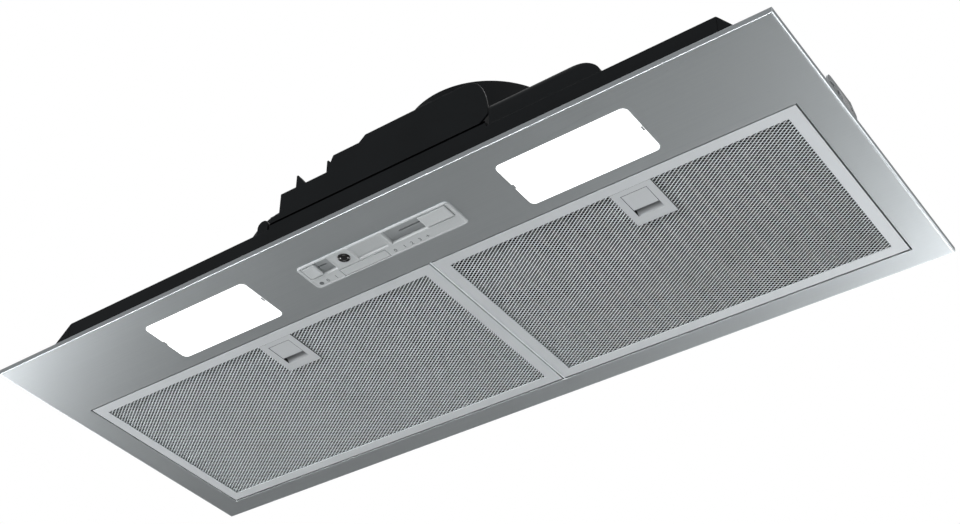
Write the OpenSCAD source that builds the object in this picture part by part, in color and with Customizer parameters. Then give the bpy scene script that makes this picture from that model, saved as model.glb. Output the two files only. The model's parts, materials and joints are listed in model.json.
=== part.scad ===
/* [Face panel] */
// Length of the folded steel face panel
panel_w = 730; // [724:2:800]
// Depth of the face panel from front to back
panel_d = 300; // [296:1:340]
// Height of the folded edge of the panel
panel_h = 5; // [4.5:0.25:6]
// Thickness of the panel sheet
sheet_t = 1; // [0.8:0.1:1.2]
// Width of the return lip that seats under the cabinet
lip_w = 9; // [6:0.5:9.5]
// Clear length cut out of each corner of the return lip
lip_mitre = 12; // [10:1:16]

/* [Filter bay] */
// Distance from each end of the panel to the opening that both filters share
bay_end = 25; // [23:0.5:35]
// Distance from the front edge of the panel to the opening
bay_front = 85; // [83:0.5:87]
// Distance from the rear edge of the panel to the opening
bay_rear = 21.4; // [20:0.2:29]
// Place of the joint between the two filters, right of centre
split_x = 32; // [-20:1:60]
// Gap between the two filters, which the centre rail shows in
split_gap = 3; // [2.6:0.2:5]
// Thickness of the centre rail web
rail_t = 1; // [0.8:0.1:1.4]

/* [Grease filters] */
// Thickness of a filter
filter_h = 9; // [8.6:0.2:9.4]
// Width of the visible rim round the mesh
rim_w = 10; // [8:0.5:12]
// Sheet thickness of the filter frame
frame_t = 0.8; // [0.6:0.1:1]
// Clearance of a filter in the opening, at its ends and front
filter_gap = 1.2; // [1:0.1:1.6]
// Clearance of a filter at the hinged rear edge
hinge_gap = 1.6; // [1.5:0.1:2.4]
// Thickness of the expanded metal face
mesh_t = 0.8; // [0.5:0.1:1]
// Pitch of the mesh openings along the filter
mesh_px = 30; // [26:1:40]
// Pitch of the mesh openings across the filter
mesh_py = 22; // [20:1:30]
// Width of the bars between the mesh openings
mesh_bar = 2.4; // [1.6:0.2:4]
// Radius of a pivot pin
pin_r = 1.5; // [1.2:0.1:1.6]
// Running clearance of the pivot pins, on the radius
pin_play = 0.05; // [0.02:0.01:0.1]

/* [Filter latches] */
// Place of the left latch, from the panel centre
latch_left_x = -135.5; // [-200:0.5:-60]
// Place of the right latch, from the panel centre
latch_right_x = 203; // [130:0.5:260]
// Width of the latch plate
latch_w = 34; // [30:1:40]
// Depth of the latch plate behind the front rim
latch_d = 41.5; // [39:0.5:48]
// Width of the sliding button
button_w = 21; // [16:0.5:22]
// Depth of the sliding button
button_d = 18.6; // [15:0.2:19]
// Travel of the sliding button towards the rear
button_travel = 5; // [3:0.5:5]
// Depth of the finger scoop behind the button
scoop_d = 8; // [7:0.5:9]

/* [Lamps] */
// Place of the left lamp, from the panel centre
lamp_left_x = -158.5; // [-220:0.5:-130]
// Place of the right lamp, from the panel centre
lamp_right_x = 189.5; // [160:0.5:240]
// Length of a lamp cover
lamp_w = 108; // [100:1:116]
// Depth of a lamp cover
lamp_d = 50.4; // [46:0.2:51]
// Distance from the front edge of the panel to a lamp cover
lamp_front = 21.8; // [21.4:0.2:24]
// Corner radius of a lamp cover
lamp_r = 4.5; // [3:0.5:8]
// Height of the lamp housing above the cover
lamp_h = 30; // [28:0.5:33]
// Radius of the tubular bulb
bulb_r = 11; // [9:0.5:12]
// Length of the bulb glass
bulb_l = 58; // [44:1:62]

/* [Controls] */
// Place of the control strip, right of the panel centre
strip_x = 13.8; // [0:0.2:20]
// Length of the control strip
strip_w = 145.6; // [144:0.4:160]
// Depth of the control strip
strip_d = 30; // [28:0.5:34]
// Distance from the front edge of the panel to the strip
strip_front = 31.8; // [28:0.2:36]
// Corner radius of the control strip
strip_r = 4; // [2:0.5:6]
// How far the strip stands proud of the panel
strip_proud = 1.2; // [0.8:0.1:2]
// Depth of the pockets that the sliders run in
pocket_depth = 2.5; // [2:0.1:2.8]
// Width of the slider pockets
pocket_d = 14.2; // [12:0.2:16]
// Length of the light slider thumb
light_l = 12; // [10:0.5:14]
// Travel of the light slider between off and on
light_travel = 12.5; // [10:0.5:13]
// Length of the fan slider thumb
fan_l = 25; // [20:0.5:27]
// Travel of the fan slider through its four steps
fan_travel = 32; // [24:1:32]
// Radius of the pilot lens
pilot_r = 5.3; // [4:0.1:6]

/* [Lower housing] */
// Distance from the front edge of the panel to the housing wall
tray_front = 18; // [17:0.5:18]
// Distance from the rear edge of the panel to the housing wall
tray_rear = 13; // [12:0.5:13.5]
// Clearance from the panel end to the housing skirt
tray_end = 16; // [15.5:0.5:17]
// Wall thickness of the plastic housings
wall = 2; // [1.6:0.1:2.4]
// Height of the skirt above the seat plane
skirt_h = 15; // [13:0.5:18]
// Height of the housing ceiling above the seat plane
tray_h = 35; // [33:0.5:40]
// Width of the shelf at the left end
shelf_left = 24; // [18:1:30]
// Width of the shelf at the right end
shelf_right = 15; // [12:1:24]
// Slope of the left end, taken over its height
rake_left = 21; // [10:1:26]
// Slope of the right end, taken over its height
rake_right = 15; // [8:1:20]

/* [Front housing] */
// Left end of the front housing, from the panel centre
front_x = -69; // [-74:1:-64]
// Length of the front housing
front_l = 183; // [178:1:186]
// Depth of the front housing
front_d = 49; // [44:0.5:49.5]
// Height of the kerb that the front housing stands on
kerb_h = 4; // [3:0.5:6]
// Length of the lowest step
step_one_l = 47; // [40:1:54]
// Length of the middle step
step_two_l = 26; // [20:1:32]
// Height of the lowest step above the seat plane
step_one_h = 67; // [60:0.5:72]
// Height of the middle step above the seat plane
step_two_h = 82; // [76:0.5:85]
// Height of the top step above the seat plane
step_three_h = 87.5; // [86:0.5:94]
// Overhang of the curved gusset at the right end
gusset_w = 19; // [14:1:19]

/* [Lamp driver cover] */
// Length of the cover at the right of the front housing
driver_l = 95; // [80:1:100]
// Depth of the cover
driver_d = 44; // [38:1:46]
// Height of the cover above the ceiling
driver_h = 24; // [22:1:30]
// Rounding of its front edge
driver_r = 10; // [6:1:16]
// Length of the falling curve at its right end
driver_run = 48; // [30:1:56]

/* [Blower] */
// Distance from the collar axis to the blower axis, along the panel
axis_gap = 156; // [155.5:0.5:162]
// Height of the scroll housing
scroll_h = 68; // [66:0.5:74]
// Radius of the scroll at its tongue
scroll_r = 78; // [77:0.5:79]
// Growth of the scroll radius from the tongue to the throat
scroll_growth = 26; // [24:0.5:27]
// Outer radius of the fan wheel
wheel_r = 70; // [66:0.5:72]
// Depth of the blades
blade_depth = 13; // [10:0.5:16]
// Height of the fan wheel
wheel_h = 53; // [46:0.5:54]
// Number of blades
blade_count = 36; // [24:1:40]
// Thickness of a blade
blade_t = 1.2; // [0.9:0.1:1.6]
// Radius of the inlet throat
throat_r = 54; // [50:0.5:55]
// Radius of the motor shaft
shaft_r = 4; // [3:0.25:5]
// Radius of the motor stator
stator_r = 47; // [40:1:50]
// Height of the motor
motor_h = 44; // [38:1:46]

/* [Duct collar] */
// Outer radius of the collar
collar_r = 75; // [74:0.5:76]
// Collar axis, right of the panel centre
collar_x = 44; // [42:1:48]
// Height of the collar rim above the seat plane
collar_top = 163; // [155:1:175]
// Wall thickness of the collar
collar_t = 2.5; // [2:0.1:3]
// Thickness of a damper flap
flap_t = 1.6; // [1.2:0.1:2]

/* [Fixing brackets] */
// Width of a bracket
bracket_w = 48; // [40:1:56]
// Height of a bracket above the seat plane
bracket_h = 43; // [40:1:48]
// Sheet thickness of a bracket
bracket_t = 1.2; // [1:0.1:1.6]
// Place of the brackets, in front of the panel centre
bracket_y = 11; // [0:1:30]
// Outward set of the spring leaf
leaf_out = 5; // [4:0.5:6]

/* [Hidden] */
$fn = 96;

over = 1;
play = 0.3;
seat_gap = 0.1;

z_face = -panel_h;
z_plate = z_face + sheet_t;
front_y = -panel_d / 2;
rear_y = panel_d / 2;

bay_w = panel_w - 2 * bay_end;
bay_d = panel_d - bay_front - bay_rear;
bay_y0 = front_y + bay_front;
bay_y1 = bay_y0 + bay_d;
filter_y0 = bay_y0 + filter_gap;
filter_y1 = bay_y1 - hinge_gap;
filter_ends = [[-bay_w / 2 + filter_gap, split_x - split_gap / 2],
    [split_x + split_gap / 2, bay_w / 2 - filter_gap]];
filter_top = z_face + filter_h;
back_rim = 8;
mesh_z = z_face + frame_t;
core_z = mesh_z + mesh_t;
core_top = filter_top - frame_t;
pleat_pitch = 12;
pleat_t = 1.2;

pivot_in = 2.5;
pivot_y = filter_y1 - pivot_in;
pivot_z = z_face + filter_h / 2;
notch_w = 7;
notch_l = 9;
block_t = 1.2;
corner_w = notch_w + block_t;
corner_l = notch_l + block_t;
ear_t = 2;
ear_r = 2.3;
rail_sheet = 1.2;
rail_lift = 1.6;
rail_z = filter_top + rail_lift;
rail_in = 5.5;
rail_y = pivot_y - rail_in;
rail_x = bay_w / 2 - filter_gap - notch_w / 2 + ear_t;
tee_w = 14;

latch_xs = [latch_left_x, latch_right_x];
latch_y0 = filter_y0 + rim_w;
latch_y1 = latch_y0 + latch_d;
latch_t = 0.8;
seam = 0.35;
button_in = 5.8;
button_y0 = latch_y0 + button_in;
button_y1 = button_y0 + button_d;
button_t = 2.4;
button_top = z_face + seat_gap + button_t;
window_y1 = button_y1 + scoop_d;
window_w = button_w + 2 * seam;
wing_w = 1.7;
tongue_w = 12;
tongue_t = 2;
tongue_out = 0.9;
tongue_lift = 5;
tongue_z = z_face + tongue_lift;
neck_in = 6;
neck_y0 = button_y0 + wing_w;
neck_y1 = button_y1 - neck_in;
scoop_h = 3.2;
scoop_ramp = 3;
spring_r = 1.15;
wire_r = 0.25;
spring_turns = 7;
spring_l = latch_y1 - latch_t - neck_y1 - button_travel - 2 * wire_r;
spring_z = (z_face + scoop_h + core_top) / 2;
coil_sides = 8;
wire_sides = 6;

lamp_xs = [lamp_left_x, lamp_right_x];
lamp_y = front_y + lamp_front + lamp_d / 2;
cover_proud = 0.5;
lamp_wall = 1.4;
lamp_in = 2.6;
lamp_lap = 1.4;
lamp_notch = 2.4;
lip_h = 3;
holder_l = 24;
bulb_lift = 1;
bulb_z = z_plate + lamp_h / 2 + bulb_lift;
cap_r_share = 0.62;
socket_r_share = 0.64;

strip_y = front_y + strip_front + strip_d / 2;
strip_lap = 1.2;
strip_z = z_face - strip_proud;
strip_body = 3;
strip_back = z_face + strip_body;
pocket_in = 5.5;
pocket_y = strip_y - pocket_in;
light_in = 3.7;
fan_in = 4.4;
pocket_gap = 5;
light_x0 = strip_x - strip_w / 2 + light_in;
light_x1 = light_x0 + light_l + light_travel + 2 * play;
fan_x1 = strip_x + strip_w / 2 - fan_in;
fan_x0 = fan_x1 - fan_l - fan_travel - 2 * play;
light_stem_x = light_x0 + play + light_l / 2;
fan_stem_x = fan_x1 - play - fan_l / 2 - fan_travel;
pilot_set = 12.8;
pilot_x = light_x1 + pilot_set;
pilot_gap = 9.5;
blank_x0 = pilot_x + pilot_gap;
blank_x1 = fan_x0 - pocket_gap;
blank_depth = 1.2;
pilot_dome = 0.8;
stem_w = 3;
stem_h = 8;
thumb_in = 0.4;
module_in = 3.6;
module_h = 20;

tray_y0 = front_y + tray_front;
tray_y1 = rear_y - tray_rear;
skirt_x = panel_w / 2 - tray_end;
tray_x0 = -skirt_x + shelf_left + rake_left;
tray_x1 = skirt_x - shelf_right - rake_right;
tray_corner = 8;
divider_in = 3;
divider_y = bay_y0 - divider_in;
inlet_lap = 12;
rib_t = 1.6;
rib_h = 4;
rib_pitch = 22;
rib_count_left = 2;
rib_count_right = 4;

front_x1 = front_x + front_l;
front_y1 = tray_y0 + front_d;
kerb_top = tray_h + kerb_h;
ledge_w = 9;
ledge_h = 8;
ledge_top = kerb_top + ledge_h;
step_slope = 6;
step_x1 = front_x + step_one_l;
step_x2 = step_x1 + step_slope + step_two_l;
seam_w = 0.6;
gusset_foot = 8;
fin_w = 10;
fin_t = 1.5;
fin_h = 12;
fin_d = 6;
clip_w = 11;
clip_gap = 2;
clip_x = front_x - ledge_w - clip_gap - clip_w / 2;
clip_t = 5;

gland_r = 6.5;
gland_bore = 4;
gland_out = 12;
gland_in = 8;
gland_nut = 5;
gland_nut_r = 8.5;
gland_y = tray_y0 + front_d / 2;
gland_z = (ledge_top + step_one_h) / 2;
terminal_in = 14;
terminal_x = front_x + terminal_in;
terminal_l = 27;
terminal_d = 18;
terminal_h = 15;
terminal_hole_r = 3;
cap_r = 14;
cap_l = 40;
cap_x = step_x1 + step_slope + wall;
cap_z = tray_h + wall + cap_r;
cable_gap = 5;
cable_x0 = cap_x + cap_l + cable_gap;
cable_l = 45;
cable_in = 6;

driver_x0 = front_x1 + gusset_w + play;
driver_x1 = driver_x0 + driver_l;
driver_y1 = tray_y0 + driver_d;
driver_top = tray_h + driver_h;
supply_in = 10;
supply_h = 15;

lid_lap = 2.5;
lid_t = 2.4;
case_gap = 0.5;
case_y = front_y1 + case_gap + lid_lap + wall;
scroll_z = tray_h;
scroll_top = scroll_z + scroll_h;
lid_top = scroll_top + lid_t;
scroll_steps = 60;
scroll_a0 = -30;
scroll_a1 = 270;
blower_x = collar_x - axis_gap;
blower_y = case_y + scroll_r + scroll_growth;
drum_set = 3;
drum_r = collar_r + drum_set;
duct_y = case_y + drum_r;
channel_w = 65;
inlet_set = 9;
inlet_r = throat_r + inlet_set;
wheel_lift = 8;
wheel_z = scroll_z + wall + wheel_lift;
wheel_gap = 1.5;
wheel_plate = 2;
ring_h = 2.6;
hub_r = 12;
hub_h = 20;
nut_h = 6;
nut_r_share = 1.75;
nut_r = shaft_r * nut_r_share;
shaft_end = 2;
shaft_z0 = wheel_z + wheel_h - hub_h - nut_h - shaft_end;
camber_share = 0.45;
blade_r_share = 0.64;
blade_a0 = -140;
blade_a1 = -42;
bell_r = 8;
bell_lap = 10;
bell_foot = 6;

grommet_h = 6;
grommet_r = 6;
grommet_neck = 4.5;
grommet_lip = 2;
screw_r = 2.2;
motor_z = lid_top + grommet_h;
motor_in = 4;
motor_shares = [[0.5, 0], [0.89, 0.18], [0.89, 0.27], [1, 0.27], [1, 0.68], [0.89, 0.68], [0.89, 0.77],
    [0.55, 0.95], [0.33, 1], [0, 1]];
vent_w = 3;
vent_z_share = 0.73;
vent_x_share = 0.56;
vent_l_share = 0.25;
ear_set = 9;
ear_ring_r = stator_r + ear_set;
foot_w = 10;
foot_t = 3;
foot_r = 7;
rib_ring_set = 12;
rib_ring_r = ear_ring_r + rib_ring_set;
shaft_clear = 6;
shaft_hole_r = shaft_r + shaft_clear;

ledge_t = 3;
collar_ledge = 3;
flap_lift = 20;
flap_z = lid_top + flap_lift;
flap_gap = 1;
knuckle_r = 3;
knuckle_l = 20;
knuckle_play = 0.2;
damper_r = 1.5;

bracket_set = 4;
bracket_cut = 8;
slot_w = 2.6;
slot_l = 8;
slot_pitch = 15;
slot_drop = 7;
slot_z = bracket_h - slot_drop;
leaf_w = 14;
leaf_t = 0.8;
leaf_drop = 6;
leaf_top = bracket_h - leaf_drop;
leaf_l = 24;
leaf_tip = 3;

// One box between two corners
module block(lo, hi) translate(lo) cube([hi[0] - lo[0], hi[1] - lo[1], hi[2] - lo[2]]);

// An outline in X and Z, run from y0 to y1
module xz_prism(points, y0, y1)
    translate([0, y1, 0]) rotate([90, 0, 0]) linear_extrude(y1 - y0) polygon(points);

// An outline in Y and Z, run from x0 to x1
module yz_prism(points, x0, x1)
    translate([x0, 0, 0]) rotate([90, 0, 90]) linear_extrude(x1 - x0) polygon(points);

// A round bar along X
module x_bar(r, x0, x1, y, z) translate([x0, y, z]) rotate([0, 90, 0]) cylinder(h = x1 - x0, r = r);

// A round bar along Y
module y_bar(r, x, y0, y1, z) translate([x, y0, z]) rotate([-90, 0, 0]) cylinder(h = y1 - y0, r = r);

// A hole or disc upright at a place, from z0 to z1
module z_bar(r, x, y, z0, z1) translate([x, y, z0]) cylinder(h = z1 - z0, r = r);

// A rectangle with round corners
module round_rect(w, d, r) {
    square([w - 2 * r, d], center = true);
    square([w, d - 2 * r], center = true);
    for (sx = [-1, 1], sy = [-1, 1]) translate([sx * (w / 2 - r), sy * (d / 2 - r)]) circle(r, $fn = 48);
}

function arc(c, rx, ry, a0, a1, n) = [for (i = [0:n]) let (a = a0 + (a1 - a0) * i / n)
    [c[0] + rx * cos(a), c[1] + ry * sin(a)]];

// Face panel: one steel sheet, folded up all round and returned inwards
module face_panel() {
    color("silver") {
        difference() {
            block([-panel_w / 2, front_y, z_face], [panel_w / 2, rear_y, z_plate]);
            block([-bay_w / 2, bay_y0, z_face - over], [bay_w / 2, bay_y1, z_plate + over]);
            for (x = lamp_xs) translate([x, lamp_y, z_face - over])
                linear_extrude(sheet_t + 2 * over) round_rect(lamp_w + 2 * play, lamp_d + 2 * play, lamp_r + play);
            translate([strip_x, strip_y, z_face - over]) linear_extrude(sheet_t + 2 * over)
                square([strip_w - 2 * strip_lap, strip_d - 2 * strip_lap], center = true);
        }
        difference() {
            block([-panel_w / 2, front_y, z_face], [panel_w / 2, rear_y, 0]);
            block([-panel_w / 2 + sheet_t, front_y + sheet_t, z_face - over],
                [panel_w / 2 - sheet_t, rear_y - sheet_t, over]);
        }
        for (s = [-1, 1]) {
            translate([0, s * (panel_d - lip_w) / 2, -sheet_t / 2])
                cube([panel_w - 2 * lip_mitre, lip_w, sheet_t], center = true);
            translate([s * (panel_w - lip_w) / 2, 0, -sheet_t / 2])
                cube([lip_w, panel_d - 2 * lip_mitre, sheet_t], center = true);
        }
    }
}

// The outline of the lower housing seen from the front, drawn in by t, its open foot dropped by d
function tray_outline(t, d) = [[t - skirt_x, z_plate - d], [t - skirt_x, skirt_h - t],
    [t - skirt_x + shelf_left, skirt_h - t], [tray_x0 + t, tray_h - t], [tray_x1 - t, tray_h - t],
    [skirt_x - shelf_right - t, skirt_h - t], [skirt_x - t, skirt_h - t], [skirt_x - t, z_plate - d]];

module tray_form(t, d) {
    intersection() {
        xz_prism(tray_outline(t, d), tray_y0 + t, tray_y1 - t);
        translate([0, (tray_y0 + tray_y1) / 2, z_plate - d]) linear_extrude(tray_h - z_plate + d)
            round_rect(2 * (skirt_x - t), tray_y1 - tray_y0 - 2 * t, tray_corner - t);
    }
}

// Stiffening ribs on the ceiling of the lower housing, counted from each end
module tray_ribs() {
    y0 = tray_y0 + tray_corner;
    y1 = tray_y1 - tray_corner;
    for (i = [0:rib_count_left - 1])
        translate([tray_x0 + wall + i * rib_pitch, y0, tray_h - wall / 2]) cube([rib_t, y1 - y0, wall / 2 + rib_h]);
    for (i = [0:rib_count_right - 1])
        translate([tray_x1 - wall - rib_t - i * rib_pitch, y0, tray_h - wall / 2]) cube([rib_t, y1 - y0, wall / 2 + rib_h]);
}

// The lower housing's walls, ceiling and divider in one, before the lines that part it
module tray_shell() {
    difference() {
        tray_form(0, 0);
        tray_form(wall, over);
    }
    intersection() {
        tray_form(wall, 0);
        block([-skirt_x, divider_y - wall, z_plate], [skirt_x, divider_y, tray_h]);
    }
}

// Lower housing: front wall, ceiling, divider and the kerb that the front housing stands on
module tray_housing() {
    color([0.1, 0.1, 0.11]) {
        difference() {
            intersection() {
                tray_shell();
                block([tray_x0, tray_y0 - over, z_plate - over], [tray_x1, tray_y1 - wall, tray_h + over]);
            }
            z_bar(throat_r + inlet_lap, blower_x, blower_y, tray_h - wall - over, tray_h + over);
            block([cable_x0, tray_y0 + cable_in, tray_h - wall - over],
                [cable_x0 + cable_l, front_y1 - cable_in, tray_h + over]);
        }
        difference() {
            block([front_x - ledge_w, tray_y0, tray_h - wall / 2], [front_x1 + gusset_w - wall, front_y1, kerb_top]);
            block([front_x + wall, tray_y0 + wall, tray_h - wall / 2 - over],
                [front_x1 - wall, front_y1 - wall, kerb_top + over]);
        }
        tray_ribs();
    }
}

// Raked end of the lower housing, from x0 to x1
module tray_end(x0, x1) {
    color([0.1, 0.1, 0.11]) intersection() {
        tray_shell();
        block([x0, tray_y0 - over, z_plate - over], [x1, tray_y1 + over, tray_h + over]);
    }
}

// Rear wall of the lower housing
module tray_rear() {
    color([0.1, 0.1, 0.11])
        block([tray_x0, tray_y1 - wall, z_plate], [tray_x1, tray_y1, tray_h]);
}

// The stepped outline of the front housing, drawn in by t, its open foot dropped by d
function front_outline(t, d) = [[front_x + t, kerb_top - d], [front_x + t, step_one_h - t],
    [step_x1 + t, step_one_h - t], [step_x1 + step_slope + t, step_two_h - t], [step_x2 + t, step_two_h - t],
    [step_x2 + step_slope + t, step_three_h - t], [front_x1 - t, step_three_h - t], [front_x1 - t, kerb_top - d]];

// Front housing: the stepped cover over the wiring, open below, with a curved gusset at its right end
module front_housing() {
    rise = step_three_h - kerb_top - gusset_foot;
    color([0.09, 0.09, 0.1]) {
        difference() {
            union() {
                xz_prism(front_outline(0, 0), tray_y0, front_y1);
                block([front_x - ledge_w, tray_y0, kerb_top], [front_x, front_y1, ledge_top]);
            }
            xz_prism(front_outline(wall, over), tray_y0 + wall, front_y1 - wall);
            x_bar(gland_r + pin_play, front_x - over, front_x + wall + over, gland_y, gland_z);
            block([front_x - ledge_w - over, tray_y0 - over, kerb_top - over],
                [front_x1 + over, tray_y0 + seam_w, kerb_top + seam_w]);
        }
        xz_prism(concat([[front_x1 - wall, kerb_top], [front_x1 + gusset_w / 2, kerb_top]],
            arc([front_x1, kerb_top + gusset_foot], gusset_w, rise, 0, 90, 12),
            [[front_x1 - wall, step_three_h]]), tray_y0, tray_y0 + wall);
        for (x = [front_x + step_one_l / 3, step_x1])
            xz_prism([[x, step_one_h - wall], [x + fin_w, step_one_h - wall], [x + fin_w, step_one_h],
                [x + fin_t, step_one_h + fin_h], [x, step_one_h + fin_h]], tray_y0, tray_y0 + fin_d);
    }
}

// Moulded hooks that hold the front housing down at its left end
module seam_clips() {
    color([0.12, 0.12, 0.13]) for (y = [tray_y0, front_y1 - clip_t])
        xz_prism(concat([[clip_x - clip_w / 2, tray_h], [clip_x + clip_w / 2, tray_h]],
            arc([clip_x, ledge_top - clip_w / 2], clip_w / 2, clip_w / 2, 0, 180, 16)), y, y + clip_t);
}

// Cable gland in the left wall of the front housing, bored for the mains lead
module cable_gland() {
    color([0.15, 0.15, 0.16]) difference() {
        union() {
            x_bar(gland_r, front_x - gland_out, front_x + gland_in, gland_y, gland_z);
            translate([front_x - gland_nut, gland_y, gland_z]) rotate([0, 90, 0])
                cylinder(h = gland_nut, r = gland_nut_r, $fn = 6);
            translate([front_x + wall, gland_y, gland_z]) rotate([0, 90, 0])
                cylinder(h = gland_nut / 2, r = gland_nut_r, $fn = 6);
        }
        x_bar(gland_bore, front_x - gland_out - over, front_x + gland_in + over, gland_y, gland_z);
    }
}

// Mains terminal block on the ceiling of the lower housing
module terminal_block() {
    color("white") difference() {
        translate([terminal_x, gland_y - terminal_d / 2, tray_h]) cube([terminal_l, terminal_d, terminal_h]);
        for (i = [0:2]) z_bar(terminal_hole_r, terminal_x + terminal_l * (i + 0.5) / 3, gland_y,
            tray_h + terminal_h / 2, tray_h + terminal_h + over);
    }
}

// Motor run capacitor, lying in a saddle on the ceiling
module run_capacitor() {
    color("gainsboro") {
        x_bar(cap_r, cap_x, cap_x + cap_l, gland_y, cap_z);
        x_bar(cap_r - wall, cap_x - wall, cap_x, gland_y, cap_z);
        translate([cap_x + cap_l / 3, gland_y - cap_r / 2, tray_h]) cube([cap_l / 3, cap_r, cap_r]);
    }
}

// The rounded cover at the right of the front housing, drawn in by t, its open foot dropped by d
module driver_form(t, d) {
    r = driver_r - t;
    intersection() {
        xz_prism(concat([[driver_x0 + t, tray_h - d], [driver_x0 + t, driver_top - t]],
            arc([driver_x1 - driver_run, tray_h], driver_run - t, driver_h - t, 90, 0, 16),
            [[driver_x1 - t, tray_h - d]]), tray_y0 + t, driver_y1 - t);
        yz_prism(concat([[tray_y0 + t, tray_h - d]],
            arc([tray_y0 + driver_r, driver_top - driver_r], r, r, 180, 90, 12),
            [[driver_y1 - t, driver_top - t], [driver_y1 - t, tray_h - d]]), driver_x0 + t, driver_x1 - t);
    }
}

// Lamp driver cover
module driver_cover() {
    color([0.1, 0.1, 0.11]) difference() {
        driver_form(0, 0);
        driver_form(wall, over);
    }
}

// Lamp driver under its cover
module lamp_driver() {
    color("gainsboro") block([driver_x0 + supply_in, tray_y0 + supply_in, tray_h],
        [driver_x1 - driver_run / 2, driver_y1 - supply_in, tray_h + supply_h]);
}

// Outline of the air passage: the scroll, the throat channel and the drum below the collar, grown by g
module airway(g) {
    translate([blower_x, blower_y]) {
        polygon([for (i = [0:scroll_steps]) let (a = scroll_a0 + (scroll_a1 - scroll_a0) * i / scroll_steps,
            r = scroll_r + g + scroll_growth * i / scroll_steps) [r * cos(a), r * sin(a)]]);
        circle(scroll_r + g);
    }
    translate([collar_x, duct_y]) circle(drum_r + g);
    translate([blower_x, case_y - g]) square([collar_x - blower_x, channel_w + 2 * g]);
}

// Scroll housing: floor, spiral wall and drum in one moulding
module volute_case() {
    color([0.1, 0.1, 0.11]) difference() {
        union() {
            for (z = [scroll_z, scroll_top - wall])
                translate([0, 0, z]) linear_extrude(wall) airway(wall + lid_lap);
            translate([0, 0, scroll_z]) linear_extrude(scroll_h) airway(wall);
        }
        translate([0, 0, scroll_z + wall]) linear_extrude(scroll_h) airway(0);
        z_bar(inlet_r, blower_x, blower_y, scroll_z - over, scroll_z + wall + over);
    }
}

// Lid of the scroll housing, stiffened round the motor
module volute_lid() {
    color([0.11, 0.11, 0.12]) {
        difference() {
            translate([0, 0, scroll_top]) linear_extrude(lid_t) airway(wall + lid_lap);
            z_bar(collar_r - collar_t, collar_x, duct_y, scroll_top - over, lid_top + over);
            z_bar(shaft_hole_r, blower_x, blower_y, scroll_top - over, lid_top + over);
        }
        difference() {
            z_bar(rib_ring_r, blower_x, blower_y, lid_top, lid_top + rib_h);
            z_bar(rib_ring_r - rib_t, blower_x, blower_y, lid_top - over, lid_top + rib_h + over);
        }
        for (i = [2:6]) translate([blower_x, blower_y, lid_top]) rotate(i * 45)
            translate([rib_ring_r - rib_t / 2, -rib_t / 2, 0]) cube([scroll_r - rib_ring_r, rib_t, rib_h]);
    }
}

// Inlet ring: a bell mouth clipped under the ceiling
module inlet_ring() {
    z0 = tray_h - wall;
    z1 = wheel_z - wheel_gap;
    out = throat_r + bell_r + bell_lap;
    color([0.2, 0.2, 0.21]) translate([blower_x, blower_y, 0]) rotate_extrude()
        polygon(concat([[out, z0 - wall], [out, z0], [throat_r + bell_foot, z0],
            [throat_r + wall, z0 + bell_foot - wall], [throat_r + wall, z1], [throat_r, z1]],
            arc([throat_r + bell_r, z0 - wall + bell_r], bell_r, bell_r, 180, 270, 8)));
}

// Motor: two end bells round the stator, on three feet
module motor_body() {
    b = shaft_r + pin_play;
    color("gray") translate([blower_x, blower_y, motor_z]) {
        difference() {
            rotate_extrude() polygon(concat([[b, 0]], [for (p = motor_shares) [p[0] * stator_r, p[1] * motor_h]],
                [[0, motor_h - motor_in], [b, motor_h - motor_in]]));
            for (i = [0:7]) rotate(i * 45) translate([stator_r * vent_x_share, -vent_w / 2, motor_h * vent_z_share])
                cube([stator_r * vent_l_share, vent_w, motor_h]);
        }
        for (i = [0:2]) rotate(i * 120 + 30) difference() {
            union() {
                translate([stator_r / 2 - foot_t, -foot_w / 2, 0])
                    cube([ear_ring_r - stator_r / 2 + foot_t, foot_w, foot_t]);
                z_bar(foot_r, ear_ring_r, 0, 0, foot_t);
            }
            z_bar(screw_r, ear_ring_r, 0, -over, foot_t + over);
        }
    }
}

// Rubber bushes between the motor and the lid
module motor_grommets() {
    outline = [[screw_r, 0], [grommet_r, 0], [grommet_r, grommet_lip - play], [grommet_neck, grommet_lip],
        [grommet_neck, grommet_h - grommet_lip], [grommet_r, grommet_h - grommet_lip + play],
        [grommet_r, grommet_h], [screw_r, grommet_h]];
    color([0.16, 0.16, 0.16]) for (i = [0:2]) translate([blower_x, blower_y, lid_top]) rotate(i * 120 + 30)
        translate([ear_ring_r, 0, 0]) rotate_extrude() polygon(outline);
}

// Motor shaft
module motor_shaft() {
    color("lightgray") z_bar(shaft_r, blower_x, blower_y, shaft_z0, motor_z + motor_h - motor_in - over);
}

// Fan wheel: forward-curved blades between a back plate and a ring
module impeller() {
    c = [wheel_r - blade_depth / 2, blade_depth * camber_share];
    r = blade_depth * blade_r_share;
    blade = concat(arc(c, r, r, blade_a0, blade_a1, 5), arc(c, r - blade_t, r - blade_t, blade_a1, blade_a0, 5));
    color([0.22, 0.22, 0.24]) translate([blower_x, blower_y, wheel_z]) difference() {
        union() {
            z_bar(wheel_r, 0, 0, wheel_h - wheel_plate, wheel_h);
            z_bar(hub_r, 0, 0, wheel_h - hub_h, wheel_h);
            difference() {
                z_bar(wheel_r, 0, 0, 0, ring_h);
                z_bar(wheel_r - blade_depth / 2, 0, 0, -over, ring_h + over);
            }
            for (i = [0:blade_count - 1]) rotate(360 * i / blade_count)
                linear_extrude(wheel_h - wheel_plate / 2) polygon(blade);
        }
        z_bar(shaft_r, 0, 0, wheel_h - hub_h - over, wheel_h + over);
    }
}

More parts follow.
